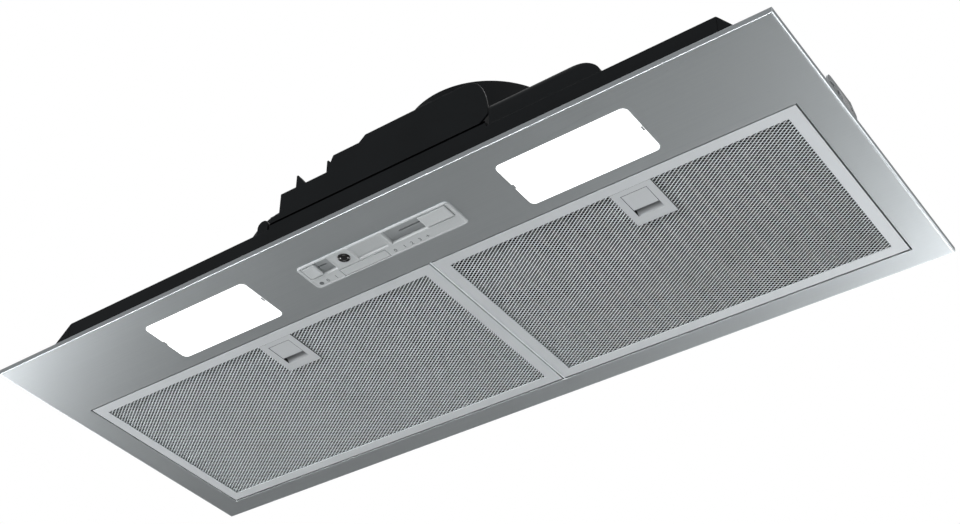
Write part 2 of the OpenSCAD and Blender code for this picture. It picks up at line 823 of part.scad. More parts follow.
// Nut that holds the fan wheel on its shaft
module impeller_nut() {
    z1 = wheel_z + wheel_h - hub_h;
    color("silver") difference() {
        translate([blower_x, blower_y, z1 - nut_h]) cylinder(h = nut_h, r = nut_r, $fn = 6);
        z_bar(shaft_r, blower_x, blower_y, z1 - nut_h - over, z1 + over);
    }
}

// Duct collar with the ledge that the closed flaps lie on
module duct_collar() {
    ledge_z = flap_z - flap_t / 2 - seat_gap;
    color([0.1, 0.1, 0.11]) translate([collar_x, duct_y, 0]) difference() {
        union() {
            difference() {
                union() {
                    z_bar(drum_r + wall + lid_lap, 0, 0, lid_top, lid_top + collar_t);
                    z_bar(collar_r, 0, 0, lid_top, collar_top);
                }
                z_bar(collar_r - collar_t, 0, 0, lid_top - over, collar_top + over);
            }
            difference() {
                z_bar(collar_r - collar_t / 2, 0, 0, ledge_z - ledge_t, ledge_z);
                z_bar(collar_r - collar_t - collar_ledge, 0, 0, ledge_z - ledge_t - over, ledge_z + over);
                block([-2 * knuckle_r, -collar_r, ledge_z - ledge_t - over],
                    [2 * knuckle_r, collar_r, ledge_z + over]);
            }
        }
        y_bar(damper_r, 0, -collar_r - over, collar_r + over, flap_z);
    }
}

// Pin across the collar that both flaps turn on
module damper_pin() {
    color("lightgray") y_bar(damper_r, collar_x, duct_y - collar_r, duct_y + collar_r, flap_z);
}

// One half-round flap, s = -1 on the left and 1 on the right, with two knuckles on the pin
module damper_flap(s) {
    r = collar_r - collar_t - flap_gap;
    x0 = knuckle_r + knuckle_play;
    color([0.14, 0.14, 0.15]) translate([collar_x, duct_y, flap_z]) difference() {
        union() {
            intersection() {
                z_bar(r, 0, 0, -flap_t / 2, flap_t / 2);
                scale([s, 1, 1]) block([x0, -r, -flap_t], [r, r, flap_t]);
            }
            for (i = [-2, 1]) let (y = (i + (s + 1) / 2) * knuckle_l + play / 2) {
                y_bar(knuckle_r, 0, y, y + knuckle_l - play, 0);
                scale([s, 1, 1]) block([0, y, -flap_t / 2], [x0 + over, y + knuckle_l - play, flap_t / 2]);
            }
        }
        y_bar(damper_r + pin_play, 0, -r - over, r + over, 0);
    }
}

// Hinge rail: a steel angle on the panel, with an ear for each filter pivot
module hinge_rail() {
    y1 = tray_y1 - wall;
    top = rail_z + rail_sheet;
    color("darkgray") {
        block([-rail_x, y1 - rail_sheet, z_plate], [rail_x, y1, top]);
        block([-rail_x, rail_y, rail_z], [rail_x, y1, top]);
        for (e = filter_ends, x = [e[0] + notch_w / 2, e[1] - notch_w / 2]) difference() {
            union() {
                x_bar(ear_r, x - ear_t / 2, x + ear_t / 2, pivot_y, pivot_z);
                block([x - ear_t / 2, pivot_y - ear_r, pivot_z], [x + ear_t / 2, pivot_y + ear_r, top]);
            }
            x_bar(pin_r + pin_play, x - ear_t, x + ear_t, pivot_y, pivot_z);
        }
    }
}

// Centre rail: a tee whose web shows in the gap between the filters
module centre_rail() {
    color("silver") {
        block([split_x - rail_t / 2, bay_y0, z_face + sheet_t / 2], [split_x + rail_t / 2, bay_y1, rail_z]);
        block([split_x - tee_w / 2, divider_y, rail_z - rail_sheet], [split_x + tee_w / 2, rail_y, rail_z]);
    }
}

// Filter frame: a rolled steel channel with solid rear corners that carry the pivot pins
module filter_frame(e, lx) {
    color("silver") {
        difference() {
            union() {
                difference() {
                    block([e[0], filter_y0, z_face], [e[1], filter_y1, filter_top]);
                    block([e[0] + frame_t, filter_y0 + frame_t, mesh_z],
                        [e[1] - frame_t, filter_y1 - frame_t, core_top]);
                    block([e[0] + rim_w, filter_y0 + rim_w, z_face - over], [e[1] - rim_w, filter_y1 - rim_w, 0]);
                    block([e[0] + back_rim, filter_y0 + back_rim, 0],
                        [e[1] - back_rim, filter_y1 - back_rim, filter_top + over]);
                }
                for (x = [e[0], e[1] - corner_w])
                    block([x, filter_y1 - corner_l, z_face], [x + corner_w, filter_y1, filter_top]);
            }
            for (x = [e[0] - over, e[1] - notch_w]) block([x, filter_y1 - notch_l, mesh_z],
                [x + notch_w + over, filter_y1 + over, filter_top + over]);
            tongue_way(lx, filter_y0 - over, filter_y0 + frame_t + over);
        }
        for (x = [e[0] + frame_t, e[1] - notch_w - block_t / 2])
            x_bar(pin_r, x, x + notch_w - frame_t + block_t / 2, pivot_y, pivot_z);
    }
}

// The way of the latch tongue, with clearance all round
module tongue_way(lx, y0, y1) {
    h = tongue_w / 2 + play;
    block([lx - h, y0, tongue_z - play], [lx + h, y1, tongue_z + tongue_t + play]);
}

// The space inside a frame between two heights, without its corners, the latch, and the way of the
// tongue from slot behind the front edge
module filter_filling(e, lx, z0, z1, slot) {
    h = tongue_w / 2 + play;
    difference() {
        block([e[0] + frame_t, filter_y0 + frame_t, z0], [e[1] - frame_t, filter_y1 - frame_t, z1]);
        for (x = [e[0] - over, e[1] - corner_w])
            block([x, filter_y1 - corner_l, z0 - over], [x + corner_w + over, filter_y1, z1 + over]);
        block([lx - latch_w / 2, latch_y0, z0 - over], [lx + latch_w / 2, latch_y1, z1 + over]);
        block([lx - h, filter_y0 + slot, z0 - over], [lx + h, latch_y0 + over, z1 + over]);
    }
}

// Expanded metal face, drawn with coarse diamond openings
module filter_mesh(e, lx) {
    x0 = e[0] + rim_w + mesh_bar;
    y0 = filter_y0 + rim_w + mesh_bar;
    nx = floor((e[1] - rim_w - mesh_bar - x0) / mesh_px);
    ny = 2 * floor((filter_y1 - rim_w - mesh_bar - y0) / mesh_py);
    hx = mesh_px / 2 - mesh_bar;
    hy = mesh_py / 2 - mesh_bar;
    color("lightgray") difference() {
        filter_filling(e, lx, mesh_z, core_z, rim_w);
        for (j = [1:ny - 1], i = [0:nx - 1 - (j + 1) % 2]) {
            x = x0 + (i + 0.5 + ((j + 1) % 2) / 2) * mesh_px;
            y = y0 + j * mesh_py / 2;
            if (abs(x - lx) > latch_w / 2 + hx || y > latch_y1 + hy) translate([x, y, z_face])
                linear_extrude(core_z + over - z_face) polygon([[-hx, 0], [0, -hy], [hx, 0], [0, hy]]);
        }
    }
}

// Pleated aluminium grease pad behind the face
module filter_core(e, lx) {
    x0 = e[0] + frame_t;
    x1 = e[1] - frame_t;
    n = floor((x1 - x0) / pleat_pitch);
    p = (x1 - x0) / n;
    fold = [for (i = [0:2 * n]) [x0 + i * p / 2, i % 2 == 0 ? core_z : core_top - pleat_t]];
    color("darkgray") intersection() {
        filter_filling(e, lx, core_z, core_top, 0);
        xz_prism(concat(fold, [for (i = [2 * n:-1:0]) fold[i] + [0, pleat_t]]), filter_y0, filter_y1);
    }
}

// Latch plate: a closed box flush with the rim, with the button window and the sloped finger scoop
module latch_plate(lx) {
    x0 = lx - latch_w / 2;
    x1 = lx + latch_w / 2;
    hw = window_w / 2;
    floor_z = z_face + scoop_h;
    ya = button_y1 - seam;
    yb = window_y1 - scoop_ramp;
    color("silver") {
        difference() {
            block([x0, latch_y0, z_face], [x1, latch_y1, core_top]);
            block([x0 + latch_t, latch_y0 + latch_t, z_face + latch_t],
                [x1 - latch_t, latch_y1 - latch_t, core_top - latch_t]);
            block([lx - hw, button_y0 - seam, z_face - over], [lx + hw, window_y1, z_face + latch_t + over]);
            tongue_way(lx, latch_y0 - over, latch_y0 + latch_t + over);
        }
        yz_prism([[ya, floor_z], [yb, floor_z], [window_y1, z_face], [window_y1 + latch_t, z_face + latch_t],
            [yb + latch_t / 2, floor_z + latch_t], [ya, floor_z + latch_t]], lx - hw - latch_t, lx + hw + latch_t);
        for (x = [lx - hw - latch_t, lx + hw])
            block([x, ya, z_face + latch_t / 2], [x + latch_t, window_y1, floor_z + latch_t / 2]);
    }
}

// Latch slider: the square button, its guide wings and the tongue, in one moulding
module latch_slider(lx) {
    hb = button_w / 2;
    ht = tongue_w / 2;
    top = tongue_z + tongue_t;
    color("gainsboro") {
        block([lx - hb, button_y0, z_face + seat_gap], [lx + hb, button_y1, button_top]);
        block([lx - hb - wing_w, neck_y0, z_face + latch_t + seat_gap],
            [lx + hb + wing_w, button_y1 - button_travel - wing_w, button_top]);
        block([lx - ht, neck_y0, button_top - seat_gap], [lx + ht, neck_y1, top]);
        block([lx - ht, filter_y0 - tongue_out, tongue_z], [lx + ht, neck_y0 + wing_w, top]);
    }
}

function ring(c, r, a, n) = [for (i = [0:n - 1]) let (b = 360 * i / n)
    [c[0] + r * cos(b) * cos(a), c[1] + r * sin(b), c[2] + r * cos(b) * sin(a)]];

// Latch return spring: one helix of wire along Y, from the slider's neck towards the rear wall
module latch_spring(lx) {
    n = spring_turns * coil_sides;
    m = wire_sides;
    rings = [for (i = [0:n]) let (a = 360 * i / coil_sides) ring([lx + spring_r * cos(a),
        neck_y1 + wire_r + spring_l * i / n, spring_z + spring_r * sin(a)], wire_r, a, m)];
    points = [for (r = rings, p = r) p];
    sides = [for (k = [0:n - 1], i = [0:m - 1], t = [0, 1]) let (a = k * m + i, b = k * m + (i + 1) % m)
        t == 0 ? [a, a + m, b + m] : [a, b + m, b]];
    ends = [for (i = [1:m - 2], t = [0, 1]) t == 0 ? [0, i, i + 1] : [n * m, n * m + i + 1, n * m + i]];
    color("silver") polyhedron(points, concat(sides, ends));
}

// Lamp cover: an opal plate in the cut-out, with a snap lip and a prising notch at each end
module lamp_cover(x) {
    w = lamp_w - 2 * lamp_in - play;
    d = lamp_d - 2 * lamp_in - play;
    color("white") translate([x, lamp_y, 0]) {
        difference() {
            translate([0, 0, z_face - cover_proud])
                linear_extrude(sheet_t + cover_proud) round_rect(lamp_w, lamp_d, lamp_r);
            for (s = [-1, 1]) translate([s * lamp_w / 2, 0, z_face - cover_proud])
                cube([lamp_notch, 2 * lamp_notch, sheet_t], center = true);
        }
        difference() {
            translate([0, 0, z_plate]) linear_extrude(lip_h) round_rect(w, d, lamp_r);
            translate([0, 0, z_plate - over]) linear_extrude(lip_h + 2 * over)
                round_rect(w - 2 * lamp_wall, d - 2 * lamp_wall, lamp_r - lamp_wall);
        }
    }
}

// Lamp housing: a reflector box on the panel
module lamp_housing(x) {
    w = lamp_w - 2 * lamp_in;
    d = lamp_d - 2 * lamp_in;
    color("whitesmoke") translate([x, lamp_y, z_plate]) difference() {
        union() {
            linear_extrude(lamp_wall) round_rect(lamp_w + 2 * lamp_lap, lamp_d + 2 * lamp_lap, lamp_r);
            linear_extrude(lamp_h) round_rect(w + 2 * lamp_wall, d + 2 * lamp_wall, lamp_r);
        }
        translate([0, 0, -over]) linear_extrude(lamp_h - lamp_wall + over) round_rect(w, d, lamp_r - lamp_wall / 2);
    }
}

// Lamp holder on the left wall of the lamp housing
module lamp_holder(x) {
    x0 = x - lamp_w / 2 + lamp_in;
    color("ivory") difference() {
        x_bar(bulb_r, x0, x0 + holder_l, lamp_y, bulb_z);
        x_bar(bulb_r * socket_r_share, x0 + holder_l / 2, x0 + holder_l + over, lamp_y, bulb_z);
    }
}

// Tubular bulb in its holder
module lamp_bulb(x) {
    r = bulb_r * cap_r_share;
    neck = holder_l / 2 + bulb_r - r;
    color([0.95, 0.93, 0.85]) translate([x - lamp_w / 2 + lamp_in + holder_l / 2, lamp_y, bulb_z])
        rotate([0, 90, 0]) rotate_extrude() polygon(concat([[0, 0], [r, 0], [r, neck], [bulb_r, neck + bulb_r - r]],
            arc([0, holder_l / 2 + bulb_l - bulb_r], bulb_r, bulb_r, 0, 90, 10)));
}

// Control strip: a moulded bezel with the slider pockets, a blank recess and the pilot hole
module control_bezel() {
    color("darkgray") difference() {
        union() {
            translate([strip_x, strip_y, strip_z])
                linear_extrude(strip_proud) round_rect(strip_w, strip_d, strip_r);
            translate([strip_x, strip_y, z_face]) linear_extrude(strip_back - z_face)
                square([strip_w - 2 * strip_lap - play, strip_d - 2 * strip_lap - play], center = true);
        }
        for (p = [[light_x0, light_x1, pocket_depth], [fan_x0, fan_x1, pocket_depth],
            [blank_x0, blank_x1, blank_depth]])
            block([p[0], pocket_y - pocket_d / 2, strip_z - over], [p[1], pocket_y + pocket_d / 2, strip_z + p[2]]);
        stem_slot(light_stem_x, light_travel);
        stem_slot(fan_stem_x, fan_travel);
        z_bar(pilot_r, pilot_x, pocket_y, strip_z - over, strip_back + over);
    }
}

// The slot that a slider stem runs in, from x over the travel
module stem_slot(x, travel) {
    h = stem_w / 2 + play;
    block([x - h, pocket_y - h, strip_z], [x + travel + h, pocket_y + h, strip_back + stem_h + over]);
}

// A slider thumb, with its finger ribs, on the stem that reaches the switch
module slider(x, l) {
    d = pocket_d / 2 - play;
    color("lightgray") translate([x, pocket_y, 0]) {
        block([-l / 2, -d, strip_z + thumb_in], [l / 2, d, strip_z + pocket_depth - seat_gap]);
        for (i = [-1:1]) translate([i * l / 4, 0, 0])
            block([-thumb_in, -d / 2, strip_z - thumb_in], [thumb_in, d / 2, strip_z + 2 * thumb_in]);
        block([-stem_w / 2, -stem_w / 2, strip_z + 2 * thumb_in], [stem_w / 2, stem_w / 2, strip_back + stem_h]);
    }
}

module light_slider() slider(light_stem_x, light_l);

module fan_slider() slider(fan_stem_x + fan_travel, fan_l);

// Pilot lens: a shallow dome, with a collar behind the bezel
module pilot_lens() {
    r = pilot_r - play / 2;
    dome_r = (r * r + pilot_dome * pilot_dome) / (2 * pilot_dome);
    z0 = strip_z - pilot_dome;
    color([0.05, 0.05, 0.06]) {
        intersection() {
            translate([pilot_x, pocket_y, z0 + dome_r]) sphere(dome_r);
            z_bar(r, pilot_x, pocket_y, z0, strip_z + seat_gap);
        }
        z_bar(r, pilot_x, pocket_y, strip_z, strip_back);
        z_bar(pilot_r + pilot_dome, pilot_x, pocket_y, strip_back, strip_back + pilot_dome);
    }
}

// Switch module on the back of the bezel, with room for the stems and the pilot lamp
module switch_module() {
    color([0.85, 0.85, 0.82]) difference() {
        translate([strip_x, strip_y, strip_back + module_h / 2])
            cube([strip_w - 2 * module_in, strip_d - 2 * module_in, module_h], center = true);
        stem_slot(light_stem_x, light_travel);
        stem_slot(fan_stem_x, fan_travel);
        z_bar(pilot_r + 2 * pilot_dome, pilot_x, pocket_y, strip_back - over, strip_back + module_h / 2);
    }
}

// Fixing bracket on the skirt, s = -1 on the left and 1 on the right: joggled, with three slots
module fixing_bracket(s) {
    x = skirt_x;
    t = bracket_t;
    xo = x + bracket_set;
    y0 = -bracket_y - bracket_w / 2;
    y1 = -bracket_y + bracket_w / 2;
    c = bracket_cut;
    color("gray") intersection() {
        scale([s, 1, 1]) difference() {
            xz_prism([[x, z_plate], [xo, z_plate], [xo, z_plate + t], [x + t, z_plate + t], [x + t, skirt_h - t],
                [xo + t, skirt_h + bracket_set], [xo + t, bracket_h], [xo, bracket_h],
                [xo, skirt_h + bracket_set], [x, skirt_h]], y0, y1);
            for (i = [-1:1]) translate([x, i * slot_pitch - bracket_y, slot_z])
                block([0, -slot_l / 2, -slot_w / 2], [2 * bracket_set, slot_l / 2, slot_w / 2]);
        }
        yz_prism(concat([[y0, z_plate - over], [y1, z_plate - over], [y1, bracket_h - c], [y1 - c, bracket_h]],
            arc([y0 + c, bracket_h - c], c, c, 90, 180, 8)), -panel_w / 2, panel_w / 2);
    }
}

// Spring leaf that grips the edge of the cabinet cut-out
module spring_leaf(s) {
    x = skirt_x + bracket_set + bracket_t + seat_gap;
    z = leaf_top - leaf_l;
    out = x + leaf_out;
    color("silver") scale([s, 1, 1]) xz_prism([[x, leaf_top], [x + leaf_t, leaf_top], [out, z],
        [out - leaf_tip, z - leaf_tip], [out - leaf_t - leaf_tip, z - leaf_tip], [out - leaf_t, z]],
        -bracket_y - leaf_w / 2, leaf_w / 2 - bracket_y);
}

face_panel();
tray_housing();
tray_end(-skirt_x - over, tray_x0);  // tray_end_left
tray_end(tray_x1, skirt_x + over);  // tray_end_right
tray_rear();
front_housing();
driver_cover();
lamp_driver();
terminal_block();
run_capacitor();
cable_gland();
seam_clips();
volute_case();
volute_lid();
inlet_ring();
motor_body();
motor_grommets();
motor_shaft();
impeller();
impeller_nut();
duct_collar();
damper_pin();
damper_flap(-1);  // damper_flap_left
damper_flap(1);  // damper_flap_right
hinge_rail();
centre_rail();
filter_frame(filter_ends[0], latch_xs[0]);  // filter_frame_left
filter_frame(filter_ends[1], latch_xs[1]);  // filter_frame_right
filter_mesh(filter_ends[0], latch_xs[0]);  // filter_mesh_left
filter_mesh(filter_ends[1], latch_xs[1]);  // filter_mesh_right
filter_core(filter_ends[0], latch_xs[0]);  // filter_core_left
filter_core(filter_ends[1], latch_xs[1]);  // filter_core_right
latch_plate(latch_xs[0]);  // latch_plate_left
latch_plate(latch_xs[1]);  // latch_plate_right
latch_slider(latch_xs[0]);  // latch_slider_left
latch_slider(latch_xs[1]);  // latch_slider_right
latch_spring(latch_xs[0]);  // latch_spring_left
latch_spring(latch_xs[1]);  // latch_spring_right
lamp_cover(lamp_xs[0]);  // lamp_cover_left
lamp_cover(lamp_xs[1]);  // lamp_cover_right
lamp_housing(lamp_xs[0]);  // lamp_housing_left
lamp_housing(lamp_xs[1]);  // lamp_housing_right
lamp_holder(lamp_xs[0]);  // lamp_holder_left
lamp_holder(lamp_xs[1]);  // lamp_holder_right
lamp_bulb(lamp_xs[0]);  // lamp_bulb_left
lamp_bulb(lamp_xs[1]);  // lamp_bulb_right
control_bezel();
light_slider();
fan_slider();
pilot_lens();
switch_module();
fixing_bracket(-1);  // fixing_bracket_left
fixing_bracket(1);  // fixing_bracket_right
spring_leaf(-1);  // spring_leaf_left
spring_leaf(1);  // spring_leaf_right
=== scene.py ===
import json
import math

import bmesh
import bpy
import numpy as np
from mathutils import Matrix, Vector


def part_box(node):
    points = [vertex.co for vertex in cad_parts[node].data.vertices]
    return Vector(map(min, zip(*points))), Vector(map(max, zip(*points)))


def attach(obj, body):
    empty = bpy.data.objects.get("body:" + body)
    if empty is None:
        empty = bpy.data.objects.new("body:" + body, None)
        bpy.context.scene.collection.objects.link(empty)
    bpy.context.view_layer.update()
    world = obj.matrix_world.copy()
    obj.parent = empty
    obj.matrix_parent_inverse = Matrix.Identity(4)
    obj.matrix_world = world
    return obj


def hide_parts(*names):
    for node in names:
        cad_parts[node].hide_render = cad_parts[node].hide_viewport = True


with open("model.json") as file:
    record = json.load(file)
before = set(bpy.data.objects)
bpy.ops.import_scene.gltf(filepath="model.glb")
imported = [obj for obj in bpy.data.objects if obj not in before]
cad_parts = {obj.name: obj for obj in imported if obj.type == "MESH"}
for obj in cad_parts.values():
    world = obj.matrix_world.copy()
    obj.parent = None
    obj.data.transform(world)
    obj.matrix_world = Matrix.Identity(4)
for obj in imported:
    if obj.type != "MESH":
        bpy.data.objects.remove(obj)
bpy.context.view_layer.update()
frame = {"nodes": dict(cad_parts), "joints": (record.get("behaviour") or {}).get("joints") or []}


# Camera
# The photograph looks up at the underside from the front right. The picture is a crop, so the middle
# of the lens lies left of the middle of the picture, which the shift gives.

camera_data = bpy.data.cameras.new("camera")
camera_data.sensor_width = 36.0
camera_data.lens = 60.14
camera_data.shift_x = 0.0833
camera_data.clip_start = 0.05
camera_data.clip_end = 60.0
camera = bpy.data.objects.new("camera", camera_data)
bpy.context.scene.collection.objects.link(camera)
bpy.context.scene.camera = camera
view_right = (0.79734383, 0.60266145, 0.03227995)
view_up = (0.35118229, -0.50679659, 0.7872917)
view_back = (0.49082973, -0.61640603, -0.61573516)
view_point = (0.6210, -0.8411, -0.7663)
axes = zip(zip(view_right, view_up, view_back), view_point)
camera.matrix_world = Matrix([(*row, place) for row, place in axes] + [(0.0, 0.0, 0.0, 1.0)])


# Face panel
# One sheet of brushed stainless steel, 1 mm thick, folded up all round and returned inwards. The grain
# runs along the panel and over the folds, and the fold's small radius carries a bright line.

MM = 0.001


def linear(code):
    """An sRGB hex colour as linear red, green, blue and alpha."""
    parts = [int(code[i:i + 2], 16) / 255 for i in (1, 3, 5)]
    return (*[c / 12.92 if c <= 0.04045 else ((c + 0.055) / 1.055) ** 2.4 for c in parts], 1.0)


def add(tree, kind, settings=None, wires=None):
    """Adds one node: settings are its attributes, and wires are its inputs, each a value or a socket."""
    made = tree.nodes.new(kind)
    for key, value in (settings or {}).items():
        setattr(made, key, value)
    for key, value in (wires or {}).items():
        if isinstance(value, bpy.types.NodeSocket):
            tree.links.new(value, made.inputs[key])
        else:
            made.inputs[key].default_value = value
    return made


def begin(name):
    """An empty node material with its output, its main shader and the piece's own coordinates."""
    material = bpy.data.materials.new(name)
    material.use_nodes = True
    tree = material.node_tree
    tree.nodes.clear()
    shader = add(tree, "ShaderNodeBsdfPrincipled")
    add(tree, "ShaderNodeOutputMaterial", None, {"Surface": shader.outputs["BSDF"]})
    return material, tree, shader, add(tree, "ShaderNodeTexCoord").outputs["Object"]


def eased(node, name, width, share=0.0, steps=2):
    """A merged copy of a CAD node's mesh with its sharp edges rounded by width. Where share is given, only
    the folds at the node's outer foot take all of it, and every cut edge takes that share."""
    source = frame["nodes"][node].data
    corners = np.empty(len(source.vertices) * 3)
    source.vertices.foreach_get("co", corners)
    triangles = np.empty(len(source.loops), int)
    source.loops.foreach_get("vertex_index", triangles)
    places, back = np.unique(np.round(corners.reshape(-1, 3), 7), axis=0, return_inverse=True)
    mesh = bpy.data.meshes.new(name)
    mesh.from_pydata(places, [], back.reshape(-1)[triangles].reshape(-1, 3))
    work = bmesh.new()
    work.from_mesh(mesh)
    bmesh.ops.dissolve_degenerate(work, dist=1e-7, edges=work.edges)
    bmesh.ops.dissolve_limit(work, angle_limit=math.radians(0.6), verts=work.verts, edges=work.edges)
    if share:
        low, high = (np.array(corner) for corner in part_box(node))
        near = 0.1 * MM
        ends = np.array([[v.co for v in edge.verts] for edge in work.edges])
        foot = (ends[:, :, 2] < low[2] + near).all(1)
        beside_low = (np.abs(ends - low)[:, :, :2] < near).all(1)
        beside_high = (np.abs(ends - high)[:, :, :2] < near).all(1)
        amount = np.where(foot & (beside_low | beside_high).any(1), 1.0, share)
    else:
        amount = np.ones(len(work.edges))
    layer = work.edges.layers.float.new("bevel_weight_edge")
    sharp = math.radians(38)
    for edge, value in zip(work.edges, amount):
        if len(edge.link_faces) == 2 and edge.calc_face_angle(0) > sharp:
            edge[layer] = value
    work.to_mesh(mesh)
    work.free()
    mesh.shade_smooth()
    piece = bpy.data.objects.new(name, mesh)
    bpy.context.scene.collection.objects.link(piece)
    bevel = piece.modifiers.new("rounding", "BEVEL")
    bevel.width = width * MM
    bevel.segments = steps
    bevel.limit_method = "WEIGHT"
    bevel.use_clamp_overlap = False
    bevel.harden_normals = True
    return piece


def fit(piece, body, slot, material, *nodes):
    """The piece takes its material, rides on its body and stands for its CAD nodes."""
    piece.data.materials.clear()
    piece.data.materials.append(material)
    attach(piece, body)
    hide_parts(*nodes)
    return piece


def finish_node(material, *nodes):
    """CAD nodes whose shape is kept take the material."""
    for node in nodes:
        for holder in frame["nodes"][node].material_slots:
            holder.material = material


# Brushed stainless steel, grain 240: a soft sheen drawn out across the grain. The scratches are drawn 0.7 mm
# wide, where the real ones are a tenth of that.
grain_long, grain_wide, cloud_wide = 167.0, 0.71, 143.0
panel_steel, tree, shader, place = begin("brushed_stainless_steel")
drawn_out = add(tree, "ShaderNodeMapping", None, {
    "Vector": place, "Scale": [1 / (size * MM) for size in (grain_long, grain_wide, grain_wide)]})
grain = add(tree, "ShaderNodeTexNoise", None, {"Vector": drawn_out.outputs[0], "Scale": 1.0, "Detail": 5.0})
cloud = add(tree, "ShaderNodeTexNoise", None, {
    "Vector": place, "Scale": 1 / (cloud_wide * MM), "Detail": 2.0})
tone = add(tree, "ShaderNodeMix", {"data_type": "RGBA"}, {
    "Factor": grain.outputs[0], "A": linear("#b9bfc3"), "B": linear("#c6cbce")})
rough = add(tree, "ShaderNodeMapRange", None, {"Value": cloud.outputs[0], "To Min": 0.30, "To Max": 0.36})
bump = add(tree, "ShaderNodeBump", None, {
    "Height": grain.outputs[0], "Strength": 0.12, "Distance": 0.03 * MM})
along = add(tree, "ShaderNodeTangent", {"direction_type": "UV_MAP", "uv_map": "grain"})
for key, value in {"Base Color": tone.outputs["Result"], "Roughness": rough.outputs[0],
                   "Normal": bump.outputs[0], "Tangent": along.outputs[0]}.items():
    tree.links.new(value, shader.inputs[key])
shader.inputs["Metallic"].default_value = 1.0
shader.inputs["Anisotropic"].default_value = 0.6


def grain_map(piece, foot):
    """The grain's own map: along the panel, and on over the folds at its ends and sides."""
    mesh = piece.data
    index = np.empty(len(mesh.loops), int)
    mesh.loops.foreach_get("vertex_index", index)
    co = np.empty(len(mesh.vertices) * 3)
    mesh.vertices.foreach_get("co", co)
    co = co.reshape(-1, 3)[index]
    rise = co[:, 2] - foot
    flat = np.stack([co[:, 0] + np.sign(co[:, 0]) * rise, co[:, 1] + np.sign(co[:, 1]) * rise], 1)
    mesh.uv_layers.new(name="grain").data.foreach_set("uv", flat.ravel())


fold_radius, cut_share, fold_steps = 1.9, 0.15, 4
panel = eased("face_panel", "panel_sheet", fold_radius, cut_share, fold_steps)
grain_map(panel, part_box("face_panel")[0].z)
fit(panel, "hood", "panel_steel", panel_steel, "face_panel")


# Grease filter frames
# A channel rolled from 0.8 mm steel with a satin finish, closed at the corners, and hinged on two short
# pins at the rear. It takes more of the light than the brushed panel does, so it looks paler.

def surface(name, flat, tone=None, rough=None, bump=None):
    """A material from fine noises on the piece's own coordinates. Flat holds the shader's plain inputs.
    Tone, rough and bump each begin with their pattern's size in millimetres, in x, y and z where it is drawn
    out, and its detail. Two hex colours, two roughnesses, or the bump's strength and depth in millimetres
    follow."""
    material, tree, shader, place = begin(name)
    for key, value in flat.items():
        shader.inputs[key].default_value = value
    for key, given in (("Base Color", tone), ("Roughness", rough), ("Normal", bump)):
        if not given:
            continue
        size, detail, first, second = given
        spot, scale = place, 1.0
        if isinstance(size, tuple):
            spot = add(tree, "ShaderNodeMapping", None, {
                "Vector": place, "Scale": [1 / (length * MM) for length in size]}).outputs[0]
        else:
            scale = 1 / (size * MM)
        noise = add(tree, "ShaderNodeTexNoise", None, {
            "Vector": spot, "Scale": scale, "Detail": detail}).outputs[0]
        if key == "Base Color":
            made = add(tree, "ShaderNodeMix", {"data_type": "RGBA"}, {
                "Factor": noise, "A": linear(first), "B": linear(second)}).outputs["Result"]
        elif key == "Roughness":
            made = add(tree, "ShaderNodeMapRange", None, {
                "Value": noise, "To Min": first, "To Max": second}).outputs[0]
        else:
            made = add(tree, "ShaderNodeBump", None, {
                "Height": noise, "Strength": first, "Distance": second * MM}).outputs[0]
        tree.links.new(made, shader.inputs[key])
    return material


# The rolled skin's fine pits are drawn at 0.5 mm where the real ones are a tenth of that
filter_steel = surface("satin_rolled_steel", {"Metallic": 1.0}, tone=(56.0, 3.0, "#bfc3c6", "#cacdd0"),
                       rough=(56.0, 3.0, 0.6, 0.68), bump=(0.5, 2.0, 0.1, 0.03))

for side in ("left", "right"):
    fit(eased("filter_frame_" + side, "filter_channel_" + side, 0.5, 0.4, 3), "filter_" + side,
        "filter_steel", filter_steel, "filter_frame_" + side)


# Expanded metal faces
# Aluminium sheet that is slit and drawn out into diamonds 4.5 mm by 3.05 mm. Each strand leans, with its
# front edge lower, and strands meet in the knuckles between the holes. The face lies under its frame's rim.

# Bright and clean, and partly dulled by its drawn skin, so that it stays pale from every side
mesh_aluminium = surface("expanded_aluminium", {"Metallic": 0.25}, tone=(33.0, 4.0, "#ebf1f4", "#f3f9fc"),
                         rough=(33.0, 4.0, 0.4, 0.48))

mesh_long, mesh_short = 4.5, 3.05
strand_w, strand_t, strand_lean = 1.36, 0.17, math.radians(34)


def new_mesh(name, points, faces):
    """A smooth piece at the origin from points in millimetres and faces that point outwards."""
    mesh = bpy.data.meshes.new(name)
    mesh.from_pydata(points * MM, [], faces)
    mesh.shade_smooth()
    piece = bpy.data.objects.new(name, mesh)
    bpy.context.scene.collection.objects.link(piece)
    return piece


